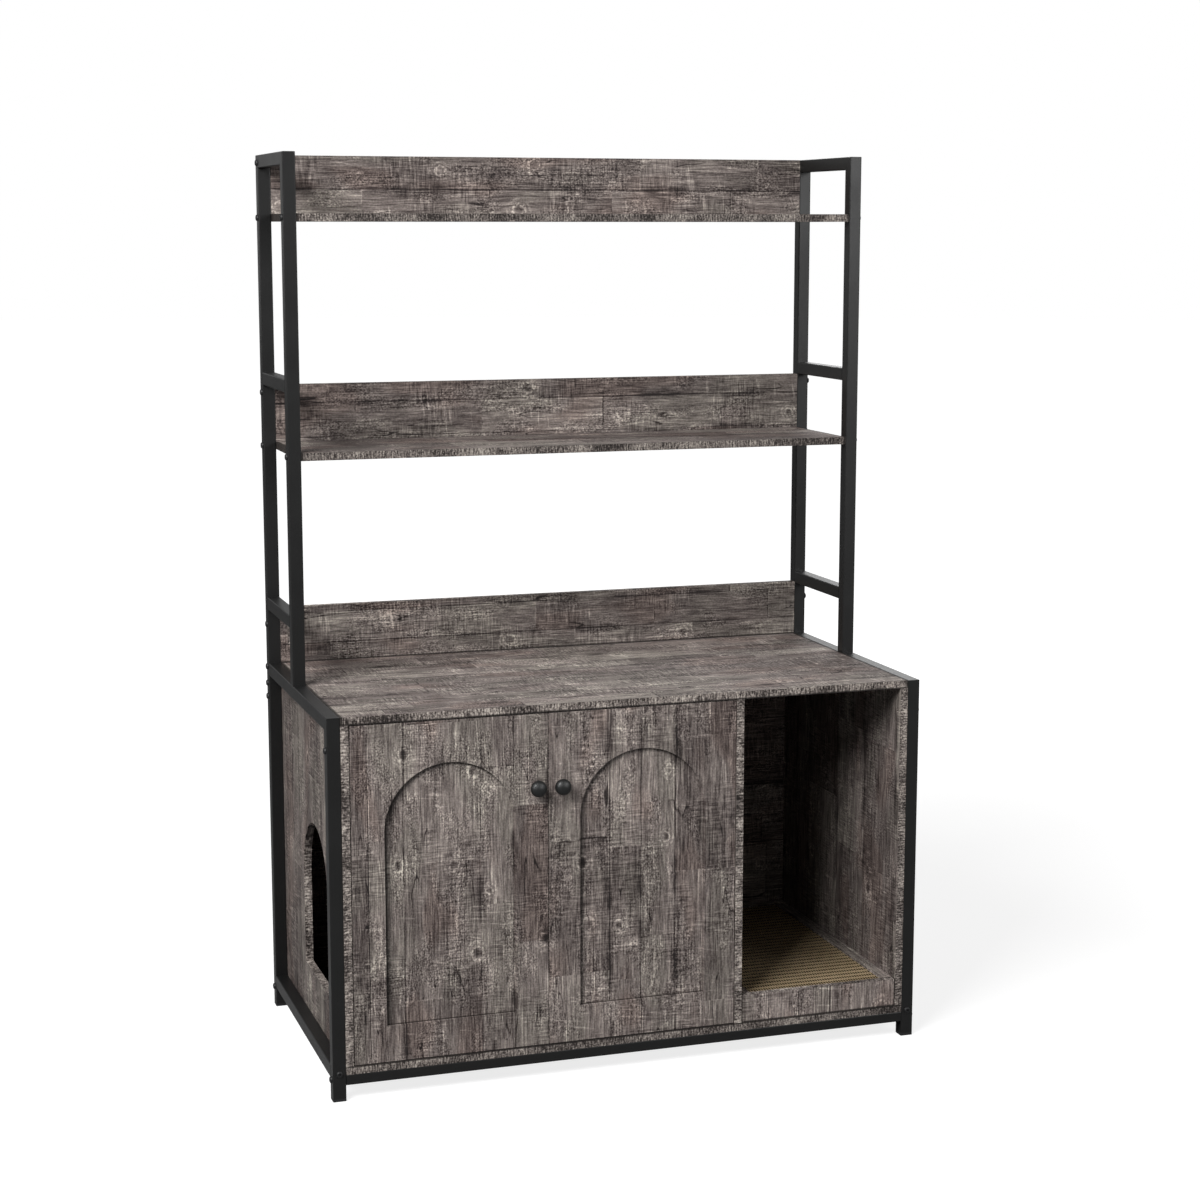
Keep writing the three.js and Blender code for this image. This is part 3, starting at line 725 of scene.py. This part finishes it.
def place_new(name: str, data: bpy.types.ID) -> bpy.types.Object:
    """Makes an object and links it into the scene."""
    made = bpy.data.objects.new(name, data)
    bpy.context.scene.collection.objects.link(made)
    return made


def middle_of(node: str) -> Point:
    """Gives the middle of a node's box in metres."""
    low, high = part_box(node)
    return ((low.x + high.x) / 2, (low.y + high.y) / 2, (low.z + high.z) / 2)


def piece_from(
    name: str,
    mesh: Mesh,
    finish: Finish,
    body: str,
    smooth_angle: float = 35.0,
) -> bpy.types.Object:
    """Turns a finished mesh into a piece that rides on a body.

    Args:
        name: The piece's name.
        mesh: The mesh, in the cabinet's frame, in metres. It is freed.
        finish: What the piece is made of.
        body: The body that carries it.
        smooth_angle: Edges flatter than this many degrees are shaded smooth.

    Returns:
        The new object.
    """
    bmesh.ops.recalc_face_normals(mesh, faces=mesh.faces)
    for face in mesh.faces:
        face.smooth = True
    limit = math.radians(smooth_angle)
    for edge in mesh.edges:
        edge.smooth = len(edge.link_faces) == 2 and edge.calc_face_angle(0.0) < limit
    data = bpy.data.meshes.new(name)
    mesh.to_mesh(data)
    mesh.free()
    data.materials.append(finish.build())
    made = place_new(name, data)
    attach(made, body)
    LOG.info("made %s on %s", name, body)
    return made


def join_rings(mesh: Mesh, lower: Sequence[Vert], upper: Sequence[Vert]) -> None:
    """Skins two rings of as many vertices each, or does nothing where there is no lower one."""
    count = len(lower)
    for index in range(count):
        following = (index + 1) % count
        mesh.faces.new((lower[index], lower[following], upper[following], upper[index]))


def circle(radius: float, height: float, count: int) -> list[Point]:
    """Points of a circle about Z."""
    step = math.tau / count
    return [(radius * math.cos(step * i), radius * math.sin(step * i), height) for i in range(count)]


def hexagon(flats: float, height: float, count: int) -> list[Point]:
    """Points along a hexagon about Z, as many as a circle of the same count has."""
    points = []
    for index in range(count):
        angle = math.tau * index / count
        off = (angle + math.pi / 6) % (math.pi / 3) - math.pi / 6
        radius = flats / 2 / math.cos(off)
        points.append((radius * math.cos(angle), radius * math.sin(angle), height))
    return points


@dataclass(frozen=True)
class ScrewHead:
    """A round head, sizes in millimetres.

    Attributes:
        diameter: Across the head.
        height: Of the dome above its seat.
    """

    diameter: float
    height: float

    def rings(self) -> list[list[Point]]:
        """Lists the head's rings of points from its rim to the floor of its drive, facing +Z."""
        raise NotImplementedError

    def add(self, mesh: Mesh, origin: Point, toward: Point) -> None:
        """Adds one head to a mesh.

        Args:
            mesh: Where the head goes.
            origin: The middle of its seat, in metres.
            toward: The direction it faces.
        """
        place = shift_to(origin, toward)
        previous: list[Vert] = []
        for points in self.rings():
            current = [mesh.verts.new(place @ Vector(point)) for point in points]
            join_rings(mesh, previous, current)
            previous = current
        mesh.faces.new(previous)


@dataclass(frozen=True)
class ButtonHead(ScrewHead):
    """A domed head with a hexagon socket.

    Attributes:
        socket: Width of the socket across its flats.
        depth: Of the socket.
        rim: Height of the head's rim.
        count: Points round the head, a multiple of six.
        steps: Rings over the dome.
    """

    diameter: float = 10.5
    height: float = 3.1
    socket: float = 4.0
    depth: float = 2.0
    rim: float = 0.25
    count: int = 24
    steps: int = 5

    def rings(self) -> list[list[Point]]:
        """Lists the rings of the rim, the dome and the socket."""
        radius = self.diameter / 2 * MM
        flat = self.socket * 0.72 * MM
        made = [circle(radius * 0.97, 0.0, self.count), circle(radius, self.rim * MM, self.count)]
        for step in range(1, self.steps + 1):
            reach = radius + (flat - radius) * step / self.steps
            rise = self.height * MM * math.sqrt(max(0.0, 1 - ((reach - flat) / (radius - flat)) ** 2))
            made.append(circle(reach, self.rim * MM + rise * 0.92, self.count))
        top = made[-1][0][2]
        made.append(hexagon(self.socket * MM, top - 0.15 * MM, self.count))
        made.append(hexagon(self.socket * 0.96 * MM, top - self.depth * MM, self.count))
        return made


@dataclass(frozen=True)
class CrossHead(ScrewHead):
    """A pan or countersunk head with a cross slot.

    Attributes:
        slot: Length of the cross slot.
        depth: Of the slot.
        count: Points round the head, a multiple of eight.
    """

    slot: float
    depth: float = 0.9
    count: int = 16

    def cross(self, height: float, reach: float) -> list[Point]:
        """Points of the cross slot at a height, matched to a circle's."""
        waist = self.slot / 2 * MM * 0.3
        reaches = (reach, reach * 0.72, waist * 1.41, reach * 0.72)
        leans = (0.0, 0.24, 0.0, -0.24)
        points = []
        for index in range(self.count):
            at = reaches[index % 4]
            angle = math.tau * index / self.count - leans[index % 4]
            points.append((at * math.cos(angle), at * math.sin(angle), height))
        return points

    def rings(self) -> list[list[Point]]:
        """Lists the rings of the dome and the slot."""
        radius, top, arm = self.diameter / 2 * MM, self.height * MM, self.slot / 2 * MM
        dome = [(1.0, 0.0), (0.94, 0.5), (0.72, 0.92)]
        made = [circle(radius * reach, top * share, self.count) for reach, share in dome]
        return [*made, self.cross(top, arm), self.cross(top - self.depth * MM, arm * 0.7)]


def dress_node(name: str, finish: Finish, round_by: float, segments: int = 2) -> None:
    """Gives a CAD node its finish and softens its edges.

    Args:
        name: The node.
        finish: What it is made of.
        round_by: Radius on its edges in millimetres.
        segments: Faces across each rounded edge.
    """
    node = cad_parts[name]
    node.material_slots[0].link = "OBJECT"
    node.material_slots[0].material = finish.build()
    if round_by > 0:
        bevel = node.modifiers.new("softened_edges", "BEVEL")
        bevel.width = round_by * MM
        bevel.segments = segments
        bevel.limit_method = "ANGLE"
        bevel.angle_limit = math.radians(40)
        bevel.harden_normals = True
    LOG.info("dressed %s", name)


# ---- Sub-assemblies ------------------------------------------------------------------------


@dataclass
class SteelFrames:
    """The two base side frames, the two hutch side frames, the cross rails and the foot caps.

    Attributes:
        softening: Radius on the tubes' cut ends in millimetres.
    """

    softening: float = 0.25

    def build(self) -> None:
        """Dresses every tube and foot cap."""
        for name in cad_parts:
            if name.startswith(("base_", "hutch_")) or name.endswith("_bottom_rail"):
                dress_node(name, POWDER_COAT, self.softening, 1)
            if name.startswith("foot_cap"):
                dress_node(name, FOOT_BLACK, self.softening, 1)


@dataclass
class FrameBolts:
    """Button-head bolts that hold the boards and rails to the posts.

    Attributes:
        head: The head of each bolt.
        front_drop: Height of the front side bolt below the base's top, in millimetres.
        side_drops: The same for the two upper bolts of the rear posts.
        board: Thickness of a board in millimetres.
        upstand_drop: How far below an upstand's top its bolt is.
        low_upstand_drop: The same for the lowest upstand.
    """

    head: ButtonHead = ButtonHead()
    front_drop: float = 49.0
    side_drops: tuple[float, float] = (33.0, 55.0)
    board: float = 12.0
    upstand_drop: float = 12.0
    low_upstand_drop: float = 27.0

    def base_spots(self) -> list[tuple[float, float]]:
        """Gives (y, z) in metres of the bolts on a base side frame."""
        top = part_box("base_left_front_post")[1].z
        front = middle_of("base_left_front_post")[1]
        rear = middle_of("base_left_rear_post")[1]
        low = middle_of("front_bottom_rail")[2]
        spots = [(front, low), (rear, low), (rear, top - self.board / 2 * MM)]
        spots.append((front, top - self.front_drop * MM))
        return spots + [(rear, top - drop * MM) for drop in self.side_drops]

    def hutch_spots(self) -> list[tuple[float, float]]:
        """Gives (y, z) in metres of the bolts on a hutch side frame."""
        posts = [middle_of(f"hutch_left_{end}_post")[1] for end in ("front", "rear")]
        spots = [(y, middle_of(shelf)[2]) for shelf in ("middle_shelf", "top_shelf") for y in posts]
        drops = {"low": self.low_upstand_drop, "middle": self.upstand_drop, "top": self.upstand_drop}
        for level, drop in drops.items():
            board = f"{level}_back_board"
            spots.append((middle_of(board)[1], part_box(board)[1].z - drop * MM))
        return spots

    def build(self) -> None:
        """Makes the bolts of the base and of the hutch."""
        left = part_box("base_left_front_post")[0].x
        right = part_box("base_right_front_post")[1].x
        for name, spots in (("base_bolts", self.base_spots()), ("hutch_bolts", self.hutch_spots())):
            mesh = bmesh.new()
            for y, z in spots:
                self.head.add(mesh, (left, y, z), (-1, 0, 0))
                self.head.add(mesh, (right, y, z), (1, 0, 0))
            piece_from(name, mesh, BLACK_OXIDE, "cabinet")
        mesh = bmesh.new()
        for side in ("left", "right"):
            x, _, z = middle_of(f"base_{side}_bottom_rail")
            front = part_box(f"base_{side}_front_post")[0].y
            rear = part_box(f"base_{side}_rear_post")[1].y
            self.head.add(mesh, (x, front, z), (0, -1, 0))
            self.head.add(mesh, (x, rear, z), (0, 1, 0))
        piece_from("side_rail_bolts", mesh, BLACK_OXIDE, "cabinet")


@dataclass
class Boards:
    """Every plank-print board.

    Attributes:
        softening: Radius on the boards' edges in millimetres.
        recess_width: Width of a door's recess.
        recess_top: Distance of its crown below the door's top.
        recess_foot: Distance of its lower wall above the door's bottom.
    """

    softening: float = 0.45
    recess_width: float = 200.0
    recess_top: float = 63.5
    recess_foot: float = 54.5

    def plan(self) -> list[tuple[str, Axis, Axis, float, float, float]]:
        """Lists node, grain axis, thin axis, seed, painted light and painted light of the banding of
        each board.
        """
        x, y, z = Axis
        return [
            ("top_board", x, z, 21.3, 1.12, 1.03),
            ("bottom_board", x, z, 2.9, 1.0, 0.88),
            ("left_side_board", z, x, 3.3, 0.66, 1.0),
            ("right_side_board", z, x, 4.1, 0.78, 1.15),
            ("divider_board", z, x, 5.6, 1.0, 1.1),
            ("back_board", x, y, 6.2, 0.9, 1.0),
            ("toe_board", z, y, 7.4, 1.36, 1.0),
            ("tray_rear_strip", x, z, 8.1, 1.0, 1.0),
            ("tray_left_strip", y, z, 8.7, 1.0, 1.0),
            ("tray_right_strip", y, z, 9.2, 1.0, 1.0),
            ("low_back_board", x, y, 10.3, 0.82, 1.0),
            ("middle_shelf", x, z, 11.8, 0.93, 0.73),
            ("middle_back_board", x, y, 12.5, 0.92, 1.0),
            ("top_shelf", x, z, 13.9, 1.0, 0.79),
            ("top_back_board", x, y, 14.4, 0.98, 1.0),
            ("left_door", z, y, 15.2, 1.0, 1.0),
            ("right_door", z, y, 16.6, 1.07, 1.0),
        ]

    def joint_shades(self) -> dict[str, tuple[JointShade, ...]]:
        """Gives the lines of painted shade of each board where something stands on or against it."""
        upstand_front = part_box("low_back_board")[0].y
        low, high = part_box("top_board")
        toe_low, toe_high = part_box("toe_board")
        thin, wide = 0.0026, 0.0048
        ends = ((Axis.X, low.x, wide), (Axis.X, high.x, wide))
        shelf = (*ends, (Axis.Y, upstand_front, wide))
        toe_ends = ((Axis.X, toe_low.x, thin), (Axis.X, toe_high.x, thin))
        return {
            "top_board": (*shelf, (Axis.Z, low.z, thin)),
            "low_back_board": ((Axis.Z, high.z, thin),),
            "middle_shelf": shelf,
            "top_shelf": shelf,
            "bottom_board": ((Axis.Z, toe_low.z, thin),),
            "toe_board": (*toe_ends, (Axis.Z, toe_low.z, thin)),
        }

    def recess(self, door: str) -> ArchRecess:
        """Gives the arched recess of a door, with less painted shadow beside its wall in the right one.
        """
        low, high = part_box(door)
        radius = self.recess_width / 2 * MM
        spring = high.z - self.recess_top * MM - radius
        made = ArchRecess(middle_of(door)[0], spring, radius, low.z + self.recess_foot * MM)
        return made if door == "left_door" else replace(made, shade=0.0095, depth=0.68)

    def build(self) -> None:
        """Dresses every board."""
        joint_shades = self.joint_shades()
        for node, *look in self.plan():
            recess = self.recess(node) if node.endswith("_door") else None
            finish = BoardFinish(f"{node}_print", *look, joint_shades=joint_shades.get(node, ()), recess=recess)
            dress_node(node, finish, self.softening)


@dataclass
class DoorHardware:
    """Knobs, hinges, catch and their screws.

    Attributes:
        flange_reach: Distance of the cup screws from the cup's middle, in millimetres.
        wing_reach: Distance of the plate screws from the plate's middle.
        plate: Thickness of a mounting plate.
        crown: How far from the door's edge an arm's crown stands.
        pinch: How far from the arm's rear end its two screws are.
    """

    flange_reach: float = 24.5
    wing_reach: float = 17.0
    plate: float = 2.0
    crown: float = 10.8
    pinch: tuple[float, float] = (12.0, 26.0)

    def build(self) -> None:
        """Dresses the hardware and makes the screws."""
        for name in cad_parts:
            if name.endswith("_knob"):
                dress_node(name, KNOB_BLACK, 0.4)
            if "_hinge_" in name or name.endswith("_strike_plate"):
                dress_node(name, NICKEL, 0.2, 1)
        dress_node("magnetic_catch", CATCH_BLACK, 0.6)
        for side in ("left", "right"):
            self.door_screws(side)
            self.plate_screws(side)

    def door_screws(self, side: str) -> None:
        """Makes the screws that ride on one door: cup, knob and strike screws."""
        mesh = bmesh.new()
        for level in ("lower", "upper"):
            cup = f"{side}_door_{level}_hinge_cup"
            x, _, z = middle_of(cup)
            for lean in (-1, 1):
                spot = (x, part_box(cup)[1].y, z + lean * self.flange_reach * MM)
                CrossHead(6.4, 1.0, 3.4).add(mesh, spot, (0, 1, 0))
        x, _, z = middle_of(f"{side}_strike_plate")
        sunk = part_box(f"{side}_strike_plate")[1].y - 0.3 * MM
        CrossHead(4.6, 0.5, 2.6).add(mesh, (x, sunk, z), (0, 1, 0))
        x, _, z = middle_of(f"{side}_knob")
        CrossHead(9.0, 2.4, 4.6).add(mesh, (x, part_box(f"{side}_door")[1].y, z), (0, 1, 0))
        piece_from(f"{side}_door_screws", mesh, ZINC_SCREW, f"{side}_door")

    def plate_screws(self, side: str) -> None:
        """Makes the screws of one door's mounting plates and the pinch screws of its arms."""
        mesh = bmesh.new()
        outer, toward = (0, 1) if side == "left" else (1, -1)
        for level in ("lower", "upper"):
            plate = f"{side}_door_{level}_hinge_plate"
            _, y, z = middle_of(plate)
            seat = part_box(plate)[outer].x + toward * self.plate * MM
            for lean in (-1, 1):
                spot = (seat, y, z + lean * self.wing_reach * MM)
                CrossHead(6.6, 1.2, 3.4).add(mesh, spot, (toward, 0, 0))
            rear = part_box(f"{side}_door_{level}_hinge_arm")[1].y
            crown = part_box(f"{side}_door")[outer].x + toward * self.crown * MM
            for ahead in self.pinch:
                CrossHead(6.0, 1.4, 3.4).add(mesh, (crown, rear - ahead * MM, z), (toward, 0, 0))
        piece_from(f"{side}_hinge_plate_screws", mesh, ZINC_SCREW, "cabinet")


@dataclass
class ScratchPad:
    """Corrugated card on edge: rows of open flutes in a tan block.

    Attributes:
        pitch_x: Spacing of the flutes across the pad in millimetres.
        pitch_y: Spacing of the rows.
        open_x: Width of a flute.
        open_y: Length of a flute.
        depth: How deep the flutes are modelled.
        gap: Clearance at the right and at the rear.
        sway: How far the flutes lean, as a share.
        swell: How much their width varies, as a share.
    """

    pitch_x: float = 4.28
    pitch_y: float = 14.9
    open_x: float = 3.0
    open_y: float = 9.2
    depth: float = 6.0
    gap: float = 2.2
    sway: float = 0.06
    swell: float = 0.05

    def build(self) -> None:
        """Makes the pad in the place of its CAD block."""
        low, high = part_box("scratch_pad")
        high = high - Vector((self.gap * MM, self.gap * MM, 0.0))
        mesh = bmesh.new()
        columns = round((high.x - low.x) / (self.pitch_x * MM))
        rows = round((high.y - low.y) / (self.pitch_y * MM))
        step_x = (high.x - low.x) / columns
        step_y = (high.y - low.y) / rows
        grid: dict[tuple[int, int], Vert] = {}

        def corner(i: int, j: int) -> Vert:
            """A vertex on the half-step grid of the upper surface."""
            if (i, j) not in grid:
                grid[(i, j)] = mesh.verts.new((low.x + i * step_x / 2, low.y + j * step_y / 2, high.z))
            return grid[(i, j)]

        around = [(-1, -1), (0, -1), (1, -1), (1, 0), (1, 1), (0, 1), (-1, 1), (-1, 0)]
        shape = [(-0.8, -0.9), (0, -1), (0.8, -0.9), (1, 0), (0.8, 0.9), (0, 1), (-0.8, 0.9), (-1, 0)]
        for column in range(columns):
            for row in range(rows):
                sway = math.sin(column * 2.399 + row * 1.713) * self.sway
                swell = 1 + math.sin(column * 1.117 + row * 3.317) * self.swell
                middle = (low.x + (column + 0.5) * step_x, low.y + (row + 0.5 + sway * 0.2) * step_y)
                previous = [corner(2 * column + 1 + a, 2 * row + 1 + b) for a, b in around]
                for drop, scale in ((0.0, 1.0), (self.depth, 0.9)):
                    wide, long = self.open_x / 2 * MM * scale * swell, self.open_y / 2 * MM * scale
                    ring = [(middle[0] + (a + sway * b) * wide, middle[1] + b * long) for a, b in shape]
                    current = [mesh.verts.new((x, y, high.z - drop * MM)) for x, y in ring]
                    join_rings(mesh, previous, current)
                    previous = current
                mesh.faces.new(previous)
        self.skirt(mesh, grid, (columns * 2, rows * 2), low.z)
        pad = piece_from(
            "corrugated_scratch_pad",
            mesh,
            CardFinish("corrugated_card", tuple(low), tuple(high), 0.0002),
            "scratch_pad",
            20.0,
        )
        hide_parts("scratch_pad")

    def skirt(
        self,
        mesh: Mesh,
        grid: Mapping[tuple[int, int], Vert],
        size: tuple[int, int],
        bottom: float,
    ) -> None:
        """Closes the pad's sides and underside.

        Args:
            mesh: The pad's mesh.
            grid: The upper surface's vertices on the half-step grid.
            size: The grid's last column and row.
            bottom: Height of the underside in metres.
        """
        last_x, last_y = size
        rim = [(i, 0) for i in range(last_x)] + [(last_x, j) for j in range(last_y)]
        rim += [(i, last_y) for i in range(last_x, 0, -1)] + [(0, j) for j in range(last_y, 0, -1)]
        upper = [grid[spot] for spot in rim]
        lower = [mesh.verts.new((vert.co.x, vert.co.y, bottom)) for vert in upper]
        join_rings(mesh, upper, lower)
        mesh.faces.new(lower)


# ---- Studio --------------------------------------------------------------------------------


@dataclass
class SoftBox:
    """A rectangular lamp.

    Attributes:
        name: The lamp's name.
        place: Where it hangs, in metres.
        aim: What it points at.
        size: Width and height in metres.
        power: In watts.
        sheen_only: Whether it shows in glossy surfaces alone.
    """

    name: str
    place: Point
    aim: Point
    size: tuple[float, float]
    power: float
    sheen_only: bool = False

    def build(self) -> None:
        """Makes the lamp."""
        data = bpy.data.lights.new(self.name, "AREA")
        data.shape = "RECTANGLE"
        data.size, data.size_y = self.size
        data.energy = self.power
        lamp = place_new(self.name, data)
        lamp.location = self.place
        lamp.visible_diffuse = not self.sheen_only
        direction = Vector(self.aim) - Vector(self.place)
        lamp.rotation_mode = "QUATERNION"
        lamp.rotation_quaternion = direction.to_track_quat("-Z", "Y")


@dataclass
class Studio:
    """Camera, lamps, floor and surroundings.

    Attributes:
        eye: Where the camera stands, in metres.
        pitch: How far it looks down, in degrees.
        yaw: How far it looks to the right.
        lens: Focal length in millimetres on a 36 mm sensor.
        fill: Strength of the surroundings as light.
        gleam: Their strength in glossy reflections.
        lamps: The softboxes.
        near: Radius on the floor inside which the shadow shows, in metres.
        far: Radius outside which the floor is plain white.
        gray: The floor's reflectance.
        glow: How bright the floor shines to the camera near the cabinet.
    """

    eye: Point = (-1.12861, -3.47067, 1.27525)
    pitch: float = 9.061
    yaw: float = 18.293
    lens: float = 70.11
    fill: float = 0.09
    gleam: float = 0.5
    lamps: tuple[SoftBox, ...] = (
        SoftBox("key_softbox", (-3.1, -2.35, 3.25), (0.0, 0.0, 0.6), (2.5, 1.6), 320.0),
        SoftBox("right_softbox", (2.6, -2.6, 2.8), (0.1, 0.0, 0.7), (1.3, 1.6), 20.0),
        SoftBox("sheen_softbox", (2.1, -3.4, 2.1), (0.3, 0.0, 0.9), (1.2, 1.6), 80.0, True),
        SoftBox("back_softbox", (2.4, 3.6, 2.8), (0.1, 0.0, 0.7), (1.6, 1.4), 40.0),
    )
    near: float = 1.0
    far: float = 3.2
    gray: float = 0.33
    glow: float = 0.81

    def build(self) -> None:
        """Makes everything that isn't the cabinet."""
        self.camera()
        for lamp in self.lamps:
            lamp.build()
        self.floor()
        self.surroundings()
        bpy.context.scene.view_settings.view_transform = "Standard"
        LOG.info("studio ready")

    def camera(self) -> None:
        """Stands the camera at the photograph's viewing angle."""
        data = bpy.data.cameras.new("studio_camera")
        data.sensor_width = 36.0
        data.lens = self.lens
        camera = place_new("studio_camera", data)
        camera.location = self.eye
        camera.rotation_euler = (math.radians(90 - self.pitch), 0.0, -math.radians(self.yaw))
        bpy.context.scene.camera = camera

    def floor(self) -> None:
        """Lays a pale round floor that keeps the shadow."""
        mesh = bmesh.new()
        bmesh.ops.create_circle(mesh, cap_ends=True, segments=96, radius=30.0)
        data = bpy.data.meshes.new("studio_floor")
        mesh.to_mesh(data)
        mesh.free()
        floor = place_new("studio_floor", data)
        floor.location.z = -0.0005
        material = bpy.data.materials.new("pale_floor")
        material.use_nodes = True
        w = Wiring(material.node_tree)
        place = w.add("ShaderNodeTexCoord").outputs["Object"]
        radius = w.add("ShaderNodeVectorMath", {0: place}, operation="LENGTH").outputs["Value"]
        glow = w.either(w.rise(radius, self.near, self.far), self.glow, 1.0)
        made = {
            "Base Color": (self.gray, self.gray, self.gray, 1.0),
            "Roughness": 0.9,
            "Specular IOR Level": 0.0,
            "Emission Color": WHITE,
            "Emission Strength": w.times(self.seen(w), glow),
        }
        w.feed_all(material.node_tree.nodes["Principled BSDF"], made)
        data.materials.append(material)

    def seen(self, w: Wiring) -> Socket:
        """Gives 1 for rays that come straight from the camera or through something clear."""
        path = w.add("ShaderNodeLightPath")
        return w.math("MAXIMUM", path.outputs["Is Camera Ray"], path.outputs["Is Transmission Ray"])

    def surroundings(self) -> None:
        """Makes the world: white where it is seen and dimmer as light."""
        world = bpy.data.worlds.new("studio_surroundings")
        world.use_nodes = True
        bpy.context.scene.world = world
        w = Wiring(world.node_tree)
        background = world.node_tree.nodes["Background"]
        background.inputs["Color"].default_value = WHITE
        glossy = w.add("ShaderNodeLightPath").outputs["Is Glossy Ray"]
        unseen = w.either(glossy, self.fill, self.gleam)
        w.feed(background.inputs["Strength"], w.either(self.seen(w), unseen, 1.0))


def main() -> None:
    """Dresses the cabinet, makes its small pieces and sets up the studio."""
    logging.basicConfig(level=logging.INFO, format="%(name)s: %(message)s")
    for assembly in (SteelFrames(), Boards(), FrameBolts(), DoorHardware(), ScratchPad(), Studio()):
        assembly.build()


if __name__ == "__main__":
    main()
